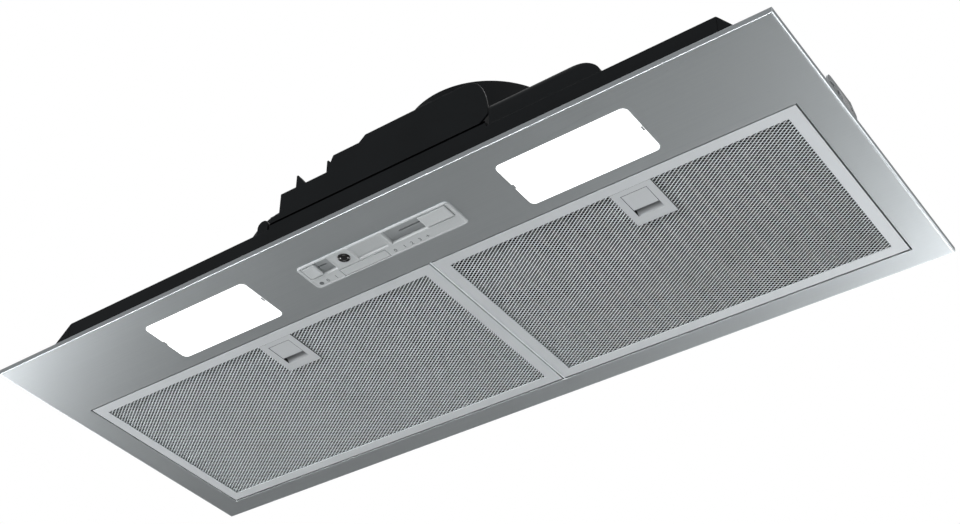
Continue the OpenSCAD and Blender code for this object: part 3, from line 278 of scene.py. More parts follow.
def expanded_metal(name, low, high, middle, plate_low, plate_high):
    """Knuckles lie at (i, j) half openings with i + j odd. Each carries one section: a strip as wide as a
    strand, leaning about X. A strand is the four-sided bar from a section to the next on its right, up or
    down, and it is left out where its middle is in the latch plate."""
    columns = int((high[0] - low[0]) / (mesh_long / 2))
    rows = int((high[1] - low[1]) / (mesh_short / 2))
    i, j = np.meshgrid(np.arange(columns + 1), np.arange(rows + 1), indexing="ij")
    x = low[0] + i * mesh_long / 2
    y = low[1] + j * mesh_short / 2
    across = np.array([0.0, math.cos(strand_lean), math.sin(strand_lean)]) * strand_w / 2
    up = np.array([0.0, -math.sin(strand_lean), math.cos(strand_lean)]) * strand_t / 2
    section = np.array([-across - up, across - up, across + up, -across + up])
    points = (np.stack([x, y, np.full_like(x, middle)], -1)[:, :, None] + section).reshape(-1, 3)
    runs = []
    for step in (-1, 1):
        a = (i + j) % 2 == 1
        a &= (i < columns) & (j + step >= 0) & (j + step <= rows)
        mx, my = x + mesh_long / 4, y + step * mesh_short / 4
        a &= ~((mx > plate_low[0]) & (mx < plate_high[0]) & (my > plate_low[1]) & (my < plate_high[1]))
        first = (i[a] * (rows + 1) + j[a]) * 4
        runs.append(np.stack([first, first + (rows + 1 + step) * 4], -1))
    runs = np.concatenate(runs)
    k = np.arange(4)
    n = (k + 1) % 4
    a, b = runs[:, 0, None], runs[:, 1, None]
    faces = np.stack([a + n, b + n, b + k, a + k], -1).reshape(-1, 4)
    used, faces = np.unique(faces, return_inverse=True)
    return new_mesh(name, points[used], faces.reshape(-1, 4))


under_rim = 8.0
for side in ("left", "right"):
    low, high = (np.array(corner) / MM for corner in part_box("filter_frame_" + side))
    face_low, face_high = (np.array(corner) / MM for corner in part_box("filter_mesh_" + side))
    plate_low, plate_high = (np.array(corner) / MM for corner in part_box("latch_plate_" + side))
    face = expanded_metal("strand_face_" + side, low + under_rim, high - under_rim,
                          (face_low[2] + face_high[2]) / 2, plate_low, plate_high)
    fit(face, "filter_" + side, "mesh_aluminium", mesh_aluminium, "filter_mesh_" + side)

# The pleated pad behind the face: the same metal, painted near black for the shade deep in its folds
pad_painted_shade = surface("aluminium_pad_painted_shade", {"Metallic": 0.3, "Roughness": 0.7},
                         tone=(17.0, 3.0, "#0b0c0c", "#121314"))
finish_node(pad_painted_shade, "filter_core_left", "filter_core_right")


# Filter latches
# A flat box with a square button, both zinc castings with a satin silver coat. The button slides into the
# sloped scoop behind it, and a small spring returns it.

# Silver lacquer with flakes in it, even and satin. The flakes are drawn at 0.4 mm, where real ones are too
# small to see.
flake = 0.38
latch_coat, tree, shader, place = begin("silver_coated_zinc")
speck = add(tree, "ShaderNodeTexNoise", None, {"Vector": place, "Scale": 1 / (flake * MM), "Detail": 2.0})
tone = add(tree, "ShaderNodeMix", {"data_type": "RGBA"}, {
    "Factor": speck.outputs[0], "A": linear("#b4b8bb"), "B": linear("#c2c5c8")})
# Painted shade: the upright walls of the seam round the button and the deep end of the scoop are painted
# dark, for the shade that falls in them. The walls are told by which way they face in the room, so this holds
# while the filter is shut.
shade_from, shade_full = 0.5, 4.5
plate_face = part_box("latch_plate_left")[0].z
deep = add(tree, "ShaderNodeMapRange", None, {
    "Value": add(tree, "ShaderNodeSeparateXYZ", None, {"Vector": place}).outputs["Z"],
    "From Min": plate_face + shade_from * MM, "From Max": plate_face + shade_full * MM})
facing = add(tree, "ShaderNodeSeparateXYZ", None, {
    "Vector": add(tree, "ShaderNodeNewGeometry").outputs["Normal"]})
level = add(tree, "ShaderNodeMath", {"operation": "ABSOLUTE"}, {0: facing.outputs["Z"]})
steep_wall_shade = add(tree, "ShaderNodeMapRange", None, {"Value": level.outputs[0], "From Min": 0.8, "From Max": 0.4})
painted_shade_mask = add(tree, "ShaderNodeMath", {"operation": "MAXIMUM"}, {0: deep.outputs[0], 1: steep_wall_shade.outputs[0]})
# Painted shade: the coat turns dark grey where the mask is
coat_with_painted_shade = add(tree, "ShaderNodeMix", {"data_type": "RGBA"}, {
    "Factor": painted_shade_mask.outputs[0], "A": tone.outputs["Result"], "B": linear("#1c1e20")})
tree.links.new(coat_with_painted_shade.outputs["Result"], shader.inputs["Base Color"])
bump = add(tree, "ShaderNodeBump", None, {"Height": speck.outputs[0], "Strength": 0.1, "Distance": 0.04 * MM})
tree.links.new(bump.outputs[0], shader.inputs["Normal"])
shader.inputs["Metallic"].default_value = 0.75
shader.inputs["Roughness"].default_value = 0.62

# Drawn and bright, with faint marks of the die
spring_wire = surface("bright_spring_wire", {"Base Color": linear("#c9cbcc"), "Metallic": 1.0},
                      rough=(1.1, 2.0, 0.2, 0.34))

for side in ("left", "right"):
    fit(eased("latch_plate_" + side, "latch_cover_" + side, 0.18), "filter_" + side,
        "latch_steel", latch_coat, "latch_plate_" + side)
    fit(eased("latch_slider_" + side, "latch_button_" + side, 0.22), "latch_" + side,
        "button_grey", latch_coat, "latch_slider_" + side)
finish_node(spring_wire, "latch_spring_left", "latch_spring_right")


# Lamps
# An opal acrylic cover snaps into a white reflector box, with a tubular lamp in a ceramic holder behind
# it. The lamps are on in the photograph, so the covers glow an even white.

# Frosted on its inner side, so that it glows an even white
opal = surface("opal_acrylic_lit", {
    "Base Color": linear("#f2f3f2"), "Emission Color": linear("#ffffff"), "Emission Strength": 0.95},
    rough=(0.67, 2.0, 0.3, 0.45))

# Baked enamel, smooth and white with a slight orange peel
reflector = surface("white_reflector_enamel", {"Base Color": linear("#e6e7e4"), "Roughness": 0.32},
                    bump=(1.4, 1.0, 0.15, 0.05))

# Pressed and fired without a glaze: cream, with a dry sheen
ceramic = surface("steatite_ceramic", {"Roughness": 0.45}, tone=(2.5, 3.0, "#d9d3c4", "#e6e1d4"))

# Etched inside, so that the tube glows warm and softly
bulb_glass = surface("frosted_lamp_glass", {
    "Base Color": linear("#f4efe0"), "Emission Color": linear("#fff3dc"), "Emission Strength": 0.6},
    rough=(0.83, 1.0, 0.18, 0.28))

for side in ("left", "right"):
    fit(eased("lamp_cover_" + side, "lamp_diffuser_" + side, 0.3), "hood",
        "opal_white", opal, "lamp_cover_" + side)
    fit(eased("lamp_housing_" + side, "lamp_box_" + side, 0.4), "hood",
        "reflector_white", reflector, "lamp_housing_" + side)
finish_node(ceramic, "lamp_holder_left", "lamp_holder_right")
finish_node(bulb_glass, "lamp_bulb_left", "lamp_bulb_right")

# A small moulded catch at each end of a cover, level with its glowing face, in dull grey nylon
catch_grey = surface("grey_nylon_catch", {"Roughness": 0.55}, tone=(3.3, 2.0, "#6d7274", "#7b8082"))
catch_long, catch_deep, catch_high, catch_inset = 1.1, 4.6, 0.4, 0.12


def block(name, low, high):
    """A plain block between two corners in millimetres, with its faces outwards."""
    spans = np.stack([low, high])
    ring = ((0, 0), (1, 0), (1, 1), (0, 1))
    points = np.array([(spans[a, 0], spans[b, 1], spans[c, 2]) for c in (0, 1) for a, b in ring])
    return new_mesh(name, points, [(3, 2, 1, 0), (4, 5, 6, 7), (0, 1, 5, 4), (1, 2, 6, 5), (2, 3, 7, 6),
                                   (3, 0, 4, 7)])


for side in ("left", "right"):
    low, high = (np.array(corner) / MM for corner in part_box("lamp_cover_" + side))
    middle = (low[1] + high[1]) / 2
    for end, x in (("a", low[0]), ("b", high[0] - catch_long)):
        foot = np.array([x, middle - catch_deep / 2, low[2] + catch_inset])
        catch = block("lamp_catch_%s_%s" % (side, end), foot, foot + (catch_long, catch_deep, catch_high))
        fit(catch, "hood", "reflector_white", catch_grey)


# Control strip
# One injection moulding in light grey ABS, sunk where the two sliders run, with a blank pocket and a bare
# label field. It drops into the cut-out from below, and its lip laps the panel. The steps are moulded in.

# Light grey ABS with the matt skin of a spark-eroded mould, whose grain is drawn two or three times as
# coarse as the real one
skin_grain = 0.56
strip_abs, tree, shader, place = begin("moulded_grey_abs")
spark = add(tree, "ShaderNodeTexNoise", None, {
    "Vector": place, "Scale": 1 / (skin_grain * MM), "Detail": 3.0})
unshaded_strip_grey = add(tree, "ShaderNodeMix", {"data_type": "RGBA"}, {
    "Factor": spark.outputs[0], "A": linear("#a6aaac"), "B": linear("#b0b4b6")})
# Painted shade: the grey gets darker deeper down in the pockets, for the shade that falls there
pocket_shade_from, pocket_shade_full = -0.2, 1.2
face_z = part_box("face_panel")[0].z / MM
pocket_painted_shade = add(tree, "ShaderNodeMapRange", None, {
    "Value": add(tree, "ShaderNodeSeparateXYZ", None, {"Vector": place}).outputs["Z"],
    "From Min": (face_z + pocket_shade_from) * MM, "From Max": (face_z + pocket_shade_full) * MM})
grey_with_painted_shade = add(tree, "ShaderNodeMix", {"data_type": "RGBA"}, {
    "Factor": pocket_painted_shade.outputs[0], "A": unshaded_strip_grey.outputs["Result"], "B": linear("#84888a")})
bump = add(tree, "ShaderNodeBump", None, {
    "Height": spark.outputs[0], "Strength": 0.12, "Distance": 0.04 * MM})
tree.links.new(grey_with_painted_shade.outputs["Result"], shader.inputs["Base Color"])
tree.links.new(bump.outputs[0], shader.inputs["Normal"])
shader.inputs["Roughness"].default_value = 0.48


def stops(low, high, step, marks):
    """Grid lines from low to high a step apart, with the marks among them."""
    line = np.concatenate([np.linspace(low, high, int((high - low) / step) + 1), marks])
    line = np.unique(np.round(line[(line >= low) & (line <= high)], 4))
    return line[np.concatenate([[True], np.diff(line) > 0.02])]


def relief(name, u, v, radius, front, back, kept):
    """A moulded plate on the grid lines u and v: front(u, v) and back(u, v) give its two skins' heights, its
    corner squares are drawn in to quarter circles, and cells where kept is false are left open."""
    u, v = np.meshgrid(u, v, indexing="ij")
    centre = [np.clip(w, w.min() + radius, w.max() - radius) for w in (u, v)]
    off = [u - centre[0], v - centre[1]]
    length = np.hypot(*off)
    shrink = np.where(length > 0, np.maximum(np.abs(off[0]), np.abs(off[1])) / np.maximum(length, 1e-9), 1.0)
    x, y = centre[0] + off[0] * shrink, centre[1] + off[1] * shrink
    middle_u, middle_v = ((w[:-1, :-1] + w[1:, 1:]) / 2 for w in (u, v))
    cell = kept(middle_u, middle_v)
    count = u.size
    number = np.arange(count).reshape(u.shape)
    a, b, c, d = number[:-1, :-1], number[:-1, 1:], number[1:, 1:], number[1:, :-1]
    faces = [np.stack([a, b, c, d], -1)[cell], np.stack([a, d, c, b], -1)[cell] + count]
    ring = np.pad(cell, 1)
    for first, second, beside in ((a, b, ring[:-2, 1:-1]), (b, c, ring[1:-1, 2:]),
                                  (c, d, ring[2:, 1:-1]), (d, a, ring[1:-1, :-2])):
        edge = cell & ~beside
        faces.append(np.stack([second[edge], first[edge], first[edge] + count, second[edge] + count], -1))
    points = np.concatenate([np.stack([x, y, skin(u, v)], -1).reshape(-1, 3) for skin in (front, back)])
    used, faces = np.unique(np.concatenate(faces), return_inverse=True)
    return new_mesh(name, points[used], faces.reshape(-1, 4))


def ramp(distance, width):
    """0 to 1 over the width, level at both ends."""
    t = np.clip(distance / width, 0, 1)
    return t * t * (3 - 2 * t)


def inside(u, v, low, high):
    """How far a point lies inside a rectangle, negative outside it."""
    return np.minimum(np.minimum(u - low[0], high[0] - u), np.minimum(v - low[1], high[1] - v))


strip_low, strip_high = (np.array(corner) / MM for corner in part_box("control_bezel"))
light_low, light_high = (np.array(corner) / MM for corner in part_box("light_slider"))
fan_low, fan_high = (np.array(corner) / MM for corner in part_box("fan_slider"))
lens_low, lens_high = (np.array(corner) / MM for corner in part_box("pilot_lens"))
joints = {joint["name"]: joint for joint in frame["joints"]}
light_run = joints["light_switch_slide"]["range_m"][1] / MM
fan_run = joints["fan_switch_slide"]["range_m"][1] / MM
play, strip_lap = 0.3, 1.35
pocket_y = (light_low[1] + light_high[1]) / 2
pocket_half = (light_high[1] - light_low[1]) / 2 + play
pocket_foot, pocket_top = pocket_y - pocket_half, pocket_y + pocket_half
light_pocket = ((light_low[0] - play, pocket_foot), (light_high[0] + light_run + play, pocket_top))
fan_pocket = ((fan_low[0] - fan_run - play, pocket_foot), (fan_high[0] + play, pocket_top))
blank_long, blank_gap = 27.5, 5.0
blank_pocket = ((fan_pocket[0][0] - blank_gap - blank_long, pocket_foot),
                (fan_pocket[0][0] - blank_gap, pocket_top))
# The label field's sides from the strip's left end, and its foot and top from the strip's rear edge
field_left, field_right, field_foot, field_top = 29.0, 73.0, 10.2, 1.9
label_field = ((strip_low[0] + field_left, strip_high[1] - field_foot),
               (strip_low[0] + field_right, strip_high[1] - field_top))
pilot_x = (lens_low[0] + lens_high[0]) / 2
pilot_hole = 4.7
stem_half, slot_play = np.array([1.5, 0.5]), 0.15
slot_long, slot_wide = stem_half + slot_play
light_x, fan_x = (light_low[0] + light_high[0]) / 2, (fan_low[0] + fan_high[0]) / 2
slots = [((x - slot_long, pocket_y - slot_wide), (x + run + slot_long, pocket_y + slot_wide))
         for x, run in ((light_x, light_run), (fan_x - fan_run, fan_run))]
# Where each step of the face starts, how wide it is, and how deep or high
proud, body_back = face_z - strip_low[2], -2.0
roll_out, roll_wide = 0.5, 1.3
field_in, field_run, field_sunk = 1.6, 0.8, 0.3
groove_out, groove_wall, groove_deep = 0.7, 0.3, 0.9
wall_out, wall_run, pocket_deep, blank_deep = 0.9, 1.1, 2.5, 1.2
rim_out, rim_run, rim_fall = 2.0, 0.7, 0.5


def strip_front(u, v):
    """The face stands proud with a rolled edge and a sunk field inside it, and a groove runs round the label
    field. Each pocket goes in by a ramp, with a low rim outside it."""
    edge = inside(u, v, strip_low, strip_high)
    label = inside(u, v, *label_field)
    out = proud * ramp(edge + roll_out, roll_wide) - field_sunk * ramp(edge - field_in, field_run)
    out -= groove_deep * (ramp(label + groove_out, groove_wall) - ramp(label, groove_wall))
    for pocket, deep in ((light_pocket, pocket_deep), (fan_pocket, pocket_deep), (blank_pocket, blank_deep)):
        within = inside(u, v, *pocket)
        out -= (deep - field_sunk) * ramp(within + wall_out, wall_run)
        out += field_sunk * ramp(within + rim_out, rim_run) * (1 - ramp(within + wall_out, rim_fall))
    return face_z - out


def strip_back(u, v):
    """The back is level, and the lip round it lies on the panel."""
    return np.where(inside(u, v, strip_low, strip_high) > strip_lap, body_back, face_z)


def strip_kept(u, v):
    """Everything but the sliders' slots and the round hole for the lens."""
    open_slot = np.any([inside(u, v, *slot) > 0 for slot in slots], axis=0)
    return ~open_slot & (np.hypot(u - pilot_x, v - pocket_y) > pilot_hole)


# Grid lines stand close together where the face bends: at the lip, round the pockets, slots and lens
marks_u, marks_v = [], []
for reach in (strip_lap, strip_lap + 0.05):
    marks_u += [strip_low[0] + reach, strip_high[0] - reach]
    marks_v += [strip_low[1] + reach, strip_high[1] - reach]
for low, high in (light_pocket, fan_pocket, blank_pocket, label_field):
    for reach in (-2.0, -1.3, -0.9, -0.5, 0.0, 0.2, 0.5):
        marks_u += [low[0] + reach, high[0] - reach]
        marks_v += [low[1] + reach, high[1] - reach]
for low, high in slots:
    marks_u += [low[0], high[0]]
    marks_v += [low[1], high[1]]
for reach in (0.4, 0.8, 1.2, 1.6, 2.0, 2.4):
    marks_u += [strip_low[0] + reach, strip_high[0] - reach]
    marks_v += [strip_low[1] + reach, strip_high[1] - reach]
for reach in (-0.7, -0.55, -0.4, 0.0, 0.15, 0.3):
    marks_u += [label_field[0][0] + reach, label_field[1][0] - reach]
    marks_v += [label_field[0][1] + reach, label_field[1][1] - reach]
round_lens = np.arange(-5.4, 5.5, 0.3)
marks_u += list(pilot_x + round_lens)
marks_v += list(pocket_y + round_lens)
strip_pitch, strip_corner = 0.9, 4.0
lines_u = stops(strip_low[0], strip_high[0], strip_pitch, marks_u)
lines_v = stops(strip_low[1], strip_high[1], strip_pitch, marks_v)
strip = relief("control_strip", lines_u, lines_v, strip_corner, strip_front, strip_back, strip_kept)
fit(strip, "hood", "strip_grey", strip_abs, "control_bezel")

# Raised marks beside the sliders: a lamp dot, 0 and 1 for the light, and 0 1 2 3 + for the fan. Each sign has
# its place along the strip and its height. A sign's capitals are 0.7 of the letter size.
mark_high, mark_in, dot_r, dot_x = 0.2, 5.1, 1.9, -52.0
mark_base = face_z - proud + field_sunk
mark_y = strip_high[1] - mark_in
cap_share = 0.7
shapes = []
for sign, x, tall in (("0", -45.3, 3.6), ("1", -37.1, 3.6), ("0", 20.9, 3.6), ("1", 29.7, 3.6),
                      ("2", 36.6, 3.6), ("3", 44.2, 3.6), ("+", 51.5, 4.2)):
    letter = bpy.data.curves.new("mark", "FONT")
    letter.body = sign
    letter.size = tall * MM / cap_share
    letter.align_x, letter.align_y = "CENTER", "CENTER"
    letter.extrude = mark_high / 2 * MM
    letter.resolution_u = 3
    holder = bpy.data.objects.new("mark", letter)
    bpy.context.scene.collection.objects.link(holder)
    bpy.context.view_layer.update()
    shape = bpy.data.meshes.new_from_object(holder.evaluated_get(bpy.context.evaluated_depsgraph_get()))
    spot = Matrix.Translation((x * MM, mark_y * MM, mark_base * MM))
    shape.transform(spot @ Matrix.Rotation(math.pi, 4, "X"))
    shapes.append(shape)
    bpy.data.objects.remove(holder)
dot = bpy.data.meshes.new("mark")
work = bmesh.new()
bmesh.ops.create_cone(work, cap_ends=True, segments=24, radius1=dot_r * MM, radius2=dot_r * MM,
                      depth=mark_high * MM)
bmesh.ops.translate(work, verts=work.verts, vec=(dot_x * MM, mark_y * MM, mark_base * MM))
work.to_mesh(dot)
work.free()
shapes.append(dot)
work = bmesh.new()
for shape in shapes:
    work.from_mesh(shape)
bmesh.ops.remove_doubles(work, verts=work.verts, dist=1e-6)
joined = bpy.data.meshes.new("strip_marks")
work.to_mesh(joined)
work.free()
strip_marks = bpy.data.objects.new("strip_marks", joined)
bpy.context.scene.collection.objects.link(strip_marks)

# Dark grey ink from a soft pad, dull and a little uneven
mark_abs = surface("pad_printed_grey", {"Roughness": 0.5}, tone=(1.1, 3.0, "#505456", "#5e6264"))
fit(strip_marks, "hood", "strip_grey", mark_abs)

# Slider thumbs: the same ABS, a shade lighter, hollowed for the finger, with the stem that works the switch
thumb_abs = surface("moulded_pale_abs", {"Roughness": 0.42}, tone=(0.56, 3.0, "#acb0b2", "#b6babc"))

thumb_thick, thumb_corner, thumb_pitch = 2.8, 0.8, 0.6
edge_out, edge_run, edge_drop = 0.15, 0.9, 0.6
hollow_in, hollow_run, hollow_deep = 1.0, 3.5, 0.2
for name, node, low, high, body in (("light_thumb", "light_slider", light_low, light_high, "light_switch"),
                                    ("fan_thumb", "fan_slider", fan_low, fan_high, "fan_switch")):
    middle = (low + high) / 2
    crest = low[2]

    def thumb_front(u, v):
        """A level face with rounded edges, hollowed a little for the finger."""
        edge = inside(u, v, low, high)
        return (crest + edge_drop * (1 - ramp(edge + edge_out, edge_run))
                + hollow_deep * ramp(edge - hollow_in, hollow_run))

    def thumb_back(u, v):
        """A level back, with the stem's blade going up from its middle into the slot."""
        stem = inside(u, v, middle[:2] - stem_half, middle[:2] + stem_half) > -0.01
        return np.where(stem, high[2], crest + thumb_thick)

    lines = []
    for axis in (0, 1):
        line = [middle[axis] + share * stem_half[axis] for share in (-1.04, -1.0, 1.0, 1.04)]
        for reach in (0.2, 0.45, 0.8, 1.6):
            line += [low[axis] + reach, high[axis] - reach]
        lines.append(stops(low[axis], high[axis], thumb_pitch, line))
    thumb = relief(name, *lines, thumb_corner, thumb_front, thumb_back, lambda u, v: u == u)
    fit(thumb, body, "thumb_grey", thumb_abs, node)


# Pilot lens
# A black polycarbonate dome in a flat black collar. It is clear enough for the pilot lamp to show when the
# fan runs, and looks black and glossy when it is off.

def turned(name, profile, centre, sides=64):
    """A profile of radius and height carried round the upright through centre, and closed where it starts."""
    angle = np.arange(sides) * 2 * math.pi / sides
    radius, height = np.array(profile).T[:, :, None]
    points = np.stack([centre[0] + radius * np.cos(angle), centre[1] + radius * np.sin(angle),
                       np.repeat(height, sides, 1)], -1).reshape(-1, 3)
    k, s = np.meshgrid(np.arange(len(profile)), np.arange(sides), indexing="ij")
    n, t = (k + 1) % len(profile), (s + 1) % sides
    faces = np.stack([k * sides + s, n * sides + s, n * sides + t, k * sides + t], -1).reshape(-1, 4)
    piece = new_mesh(name, points, faces)
    work = bmesh.new()
    work.from_mesh(piece.data)
    bmesh.ops.remove_doubles(work, verts=work.verts, dist=1e-7)
    bmesh.ops.recalc_face_normals(work, faces=work.faces)
    work.to_mesh(piece.data)
    work.free()
    return piece


lens_black = surface("black_polycarbonate", {"Base Color": linear("#0b0b0d")},
                     rough=(3.3, 2.0, 0.08, 0.16))

dome_r, dome_share, dome_top = 3.7, 0.35, lens_low[2]
flange_thick = 0.8
flange_r, flange_foot = lens_high[0] - pilot_x, lens_high[2] - flange_thick
strip_face = face_z - proud
dome = [(dome_r * math.sin(a), dome_top + dome_r * dome_share * (1 - math.cos(a)))
        for a in np.linspace(0, math.pi / 2, 9)]
# Each point of the collar has its radius, and how far it stands out of the strip's face
neck_r = 4.6
collar = [(r, strip_face - out) for r, out in (
    (3.75, -0.35), (3.9, 0.28), (4.2, 0.4), (4.7, 0.35), (5.1, 0.1), (5.25, -0.32), (neck_r, -0.35))]
collar += [(neck_r, flange_foot), (flange_r, flange_foot), (flange_r, lens_high[2]), (0.0, lens_high[2])]
fit(turned("pilot_dome", dome + collar, (pilot_x, pocket_y)), "hood", "lens_black", lens_black, "pilot_lens")

# The switch block behind the strip, which the slots let show, in plain grey nylon
switch_grey = surface("moulded_mid_grey_nylon", {"Roughness": 0.5}, tone=(11.0, 3.0, "#9a9ea0", "#a4a8aa"))
finish_node(switch_grey, "switch_module")


# White mouldings
# The lamp driver's case and the mains terminal block are cream-white nylon, under the black covers.

wiring_white = surface("moulded_white_nylon", {"Roughness": 0.5}, tone=(11.0, 3.0, "#d3d3cc", "#dddcd6"))
finish_node(wiring_white, "lamp_driver", "terminal_block")


# Plastic housings
# Injection mouldings in black glass-filled polypropylene with a fine spark-eroded skin: the tray on the
# panel with its two raked ends and its rear wall, the stepped front housing, the lamp driver's cover, the
# scroll and its lid, and the duct collar.

# Dull black, with a grain that is drawn at 0.8 mm where the real one is about a quarter of that
housing_black = surface("moulded_black_polypropylene", {"Specular IOR Level": 0.07},
                        tone=(45.0, 4.0, "#0a0c0d", "#101214"), rough=(45.0, 4.0, 0.42, 0.56),
                        bump=(0.77, 3.0, 0.25, 0.06))

for node, name, width in (("tray_housing", "tray_moulding", 0.5), ("tray_end_left", "end_moulding_left", 0.5),
                          ("tray_end_right", "end_moulding_right", 0.5), ("tray_rear", "rear_moulding", 0.5),
                          ("front_housing", "front_moulding", 0.5), ("driver_cover", "driver_hood", 0.6),
                          ("seam_clips", "seam_hooks", 0.4), ("cable_gland", "lead_gland", 0.3),
                          ("volute_case", "scroll_case", 0.5), ("volute_lid", "scroll_lid", 0.5),
                          ("duct_collar", "outlet_collar", 0.5), ("inlet_ring", "inlet_bell", 0.3)):
    fit(eased(node, name, width), "hood", "housing_black", housing_black, node)

# A black strip lies in the groove between the tray's kerb and the front housing: painted shadow for the
# shadow gap there, which shows as a black line
shadow_gap_black = surface("painted_shadow_black", {"Base Color": linear("#020202"), "Specular IOR Level": 0.0},
                      rough=(0.71, 2.0, 0.85, 1.0))
gap_strip_proud, gap_strip_deep, gap_strip_below, gap_strip_above = 0.15, 0.7, 0.5, 1.3
short_left, short_right = 1.0, 3.0
low, high = (np.array(corner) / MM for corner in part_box("front_housing"))
shadow_gap_strip = block("housing_shadow_strip", (low[0] + short_left, low[1] - gap_strip_proud, low[2] - gap_strip_below),
             (high[0] - short_right, low[1] + gap_strip_deep, low[2] + gap_strip_above))
fit(shadow_gap_strip, "hood", "housing_black", shadow_gap_black)


# Blower parts
# A moulded fan wheel on a steel shaft, hung from a motor that stands on three rubber bushes.

# Dark grey nylon, smooth from the mould
wheel_plastic = surface("moulded_grey_nylon", {"Roughness": 0.45}, tone=(12.5, 3.0, "#3a3b3e", "#46474a"))
finish_node(wheel_plastic, "impeller")

# Die-cast and left as it comes: dull, with a rough skin
motor_alloy = surface("cast_aluminium", {"Base Color": linear("#a9abad"), "Metallic": 1.0},
                      rough=(1.1, 4.0, 0.42, 0.6), bump=(1.1, 4.0, 0.3, 0.1))
fit(eased("motor_body", "motor_shell", 0.5), "hood", "motor_alloy", motor_alloy, "motor_body")

# Ground bright, for the turned parts and for the leaves of the brackets
ground_steel = surface("ground_steel", {"Base Color": linear("#bfc1c3"), "Metallic": 1.0},
                       rough=(0.67, 2.0, 0.22, 0.34))
finish_node(ground_steel, "motor_shaft", "impeller_nut", "damper_pin")

# Moulded rubber: matt and nearly black
rubber = surface("black_rubber", {"Base Color": linear("#1b1b1b")}, rough=(2.0, 3.0, 0.65, 0.8))
finish_node(rubber, "motor_grommets")

# Drawn along the capacitor's length, which leaves faint bright lines
can = surface("drawn_aluminium_can", {"Base Color": linear("#c3c5c6"), "Metallic": 1.0},
              rough=((50.0, 1.1, 1.1), 2.0, 0.26, 0.4))
finish_node(can, "run_capacitor")


# Damper flaps
# Two half-round flaps of thin black polypropylene that swing up on one pin across the collar.

for side in ("left", "right"):
    fit(eased("damper_flap_" + side, "damper_leaf_" + side, 0.25), "flap_" + side,
        "flap_black", housing_black, "damper_flap_" + side)


# Rails, brackets and spring leaves
# Bent from galvanised sheet: the rail that the filters hang on, the tee between them, and the two joggled
# brackets on the ends. The leaves that grip the cabinet are spring steel.

# Hot-dip zinc: grey, with a spangle of flat crystals about 6 mm across
crystal = 6.25
zinc_coat, tree, shader, place = begin("galvanised_steel")
spangle = add(tree, "ShaderNodeTexVoronoi", None, {"Vector": place, "Scale": 1 / (crystal * MM)})
tone = add(tree, "ShaderNodeMix", {"data_type": "RGBA"}, {
    "Factor": spangle.outputs["Color"], "A": linear("#9ea2a4"), "B": linear("#b3b6b8")})
rough = add(tree, "ShaderNodeMapRange", None, {
    "Value": spangle.outputs["Distance"], "To Min": 0.38, "To Max": 0.5})
tree.links.new(tone.outputs["Result"], shader.inputs["Base Color"])
tree.links.new(rough.outputs[0], shader.inputs["Roughness"])
shader.inputs["Metallic"].default_value = 1.0

fit(eased("hinge_rail", "hinge_angle", 0.3), "hood", "rail_steel", zinc_coat, "hinge_rail")
# The tee shows between the filters as a bright line, as pale as they are, so it takes their finish in place
# of its galvanised one: a painted highlight
fit(eased("centre_rail", "centre_tee", 0.3), "hood", "rail_steel", mesh_aluminium, "centre_rail")
for side in ("left", "right"):
    fit(eased("fixing_bracket_" + side, "fixing_plate_" + side, 0.3), "hood",
        "bracket_zinc", zinc_coat, "fixing_bracket_" + side)
    fit(eased("spring_leaf_" + side, "grip_leaf_" + side, 0.2), "leaf_" + side,
        "spring_steel", ground_steel, "spring_leaf_" + side)


# Light, floor and background
# Two soft boxes near the floor give the steel its long gradient, three more light the underside and the
# front fold, and two overhead light the top. The floor is far below, as under a cabinet.

# Each soft box has its place and size in metres and its power. It faces the object's middle, and the camera
# doesn't see it.
for name, place, size, power in (
        ("low_left", (-4.52, 1.6, -2.6), (1.6, 4.0), 176.0),
        ("low_right", (0.52, 3.9, -2.6), (1.6, 4.0), 246.0),
        ("low_front", (0.5, -1.3, -2.4), (2.4, 2.4), 45.0),
        ("front_strip", (-2.1, -4.6, -0.6), (5.0, 0.6), 250.0),
        ("right_strip", (4.4, 3.6, -2.0), (0.7, 5.0), 64.0),
        ("high_top", (0.6, 0.8, 3.2), (2.4, 2.4), 40.0),
        ("high_back", (-2.2, 2.4, 2.2), (2.0, 2.0), 24.0)):
    lamp = bpy.data.lights.new(name, "AREA")
    lamp.shape = "RECTANGLE"
    lamp.size, lamp.size_y = size
    lamp.energy = power
    holder = bpy.data.objects.new(name, lamp)
    bpy.context.scene.collection.objects.link(holder)
    holder.rotation_euler = Vector(place).to_track_quat("Z", "Y").to_euler()
    holder.location = place
    holder.visible_camera = False


def stage_card(name, corners, material):
    """A flat card of the set through four corners."""
    mesh = bpy.data.meshes.new(name)
    mesh.from_pydata(corners, [], [(0, 1, 2, 3)])
    mesh.materials.append(material)
    card = bpy.data.objects.new(name, mesh)
    bpy.context.scene.collection.objects.link(card)
    return card


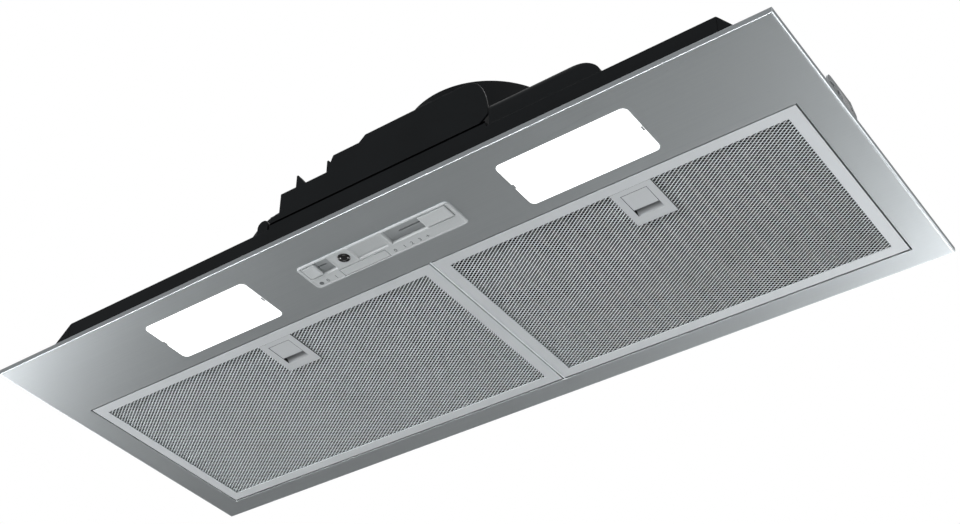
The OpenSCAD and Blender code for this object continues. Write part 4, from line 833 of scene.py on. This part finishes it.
# The floor is shown pale to the camera, and much less so in the steel, whose grey gradient it would wash out
floor_shown, floor_mirrored = 0.85, 0.06
floor_paint, tree, shader, place = begin("pale_floor")
seen = add(tree, "ShaderNodeLightPath")
shader.inputs["Base Color"].default_value = linear("#9c9c9a")
shader.inputs["Roughness"].default_value = 0.9
shader.inputs["Specular IOR Level"].default_value = 0.0
shader.inputs["Emission Color"].default_value = linear("#ffffff")
mirrored = add(tree, "ShaderNodeMath", {"operation": "MAXIMUM"}, {
    0: seen.outputs["Is Glossy Ray"], 1: seen.outputs["Is Transmission Ray"]})
mirrored = add(tree, "ShaderNodeMath", {"operation": "MULTIPLY"}, {
    0: mirrored.outputs[0], 1: floor_mirrored})
glow = add(tree, "ShaderNodeMath", {"operation": "MULTIPLY_ADD"}, {
    0: seen.outputs["Is Camera Ray"], 1: floor_shown, 2: mirrored.outputs[0]})
tree.links.new(glow.outputs[0], shader.inputs["Emission Strength"])
floor_z, floor_half = -2.75, 9.0
stage_card("floor", [(-floor_half, -floor_half, floor_z), (floor_half, -floor_half, floor_z),
                     (floor_half, floor_half, floor_z), (-floor_half, floor_half, floor_z)], floor_paint)

# Two grey cards, high in front and high to the right, that the upright sides mirror towards the camera
card_felt = surface("grey_felt", {
    "Base Color": linear("#2a2a2a"), "Roughness": 1.0, "Specular IOR Level": 0.0,
    "Emission Color": linear("#ffffff"), "Emission Strength": 0.3})
for name, corners in (
        ("front_card", [(-5.2, -1.6, 0.9), (0.6, -4.6, 0.9), (0.9, -3.2, 4.6), (-4.2, -0.4, 4.6)]),
        ("right_card", [(4.6, 0.2, 0.8), (0.2, 4.6, 0.8), (0.0, 3.4, 4.6), (3.4, 0.0, 4.6)])):
    card = stage_card(name, corners, card_felt)
    card.visible_camera = False
    card.visible_shadow = False
    card.visible_diffuse = False

# White to the camera, in mirrors and in glass, and a faint fill for everything else
sky_fill = 0.09
world = bpy.data.worlds.new("studio")
bpy.context.scene.world = world
world.use_nodes = True
tree = world.node_tree
tree.nodes.clear()
seen = add(tree, "ShaderNodeLightPath")
direct = add(tree, "ShaderNodeMath", {"operation": "MAXIMUM"}, {
    0: seen.outputs["Is Camera Ray"], 1: seen.outputs["Is Glossy Ray"]})
any_seen = add(tree, "ShaderNodeMath", {"operation": "MAXIMUM"}, {
    0: direct.outputs[0], 1: seen.outputs["Is Transmission Ray"]})
level = add(tree, "ShaderNodeMapRange", None, {
    "Value": any_seen.outputs[0], "To Min": sky_fill, "To Max": 1.0})
sky = add(tree, "ShaderNodeBackground", None, {"Color": linear("#ffffff"), "Strength": level.outputs[0]})
add(tree, "ShaderNodeOutputWorld", None, {"Surface": sky.outputs[0]})

bpy.context.scene.view_settings.view_transform = "Standard"
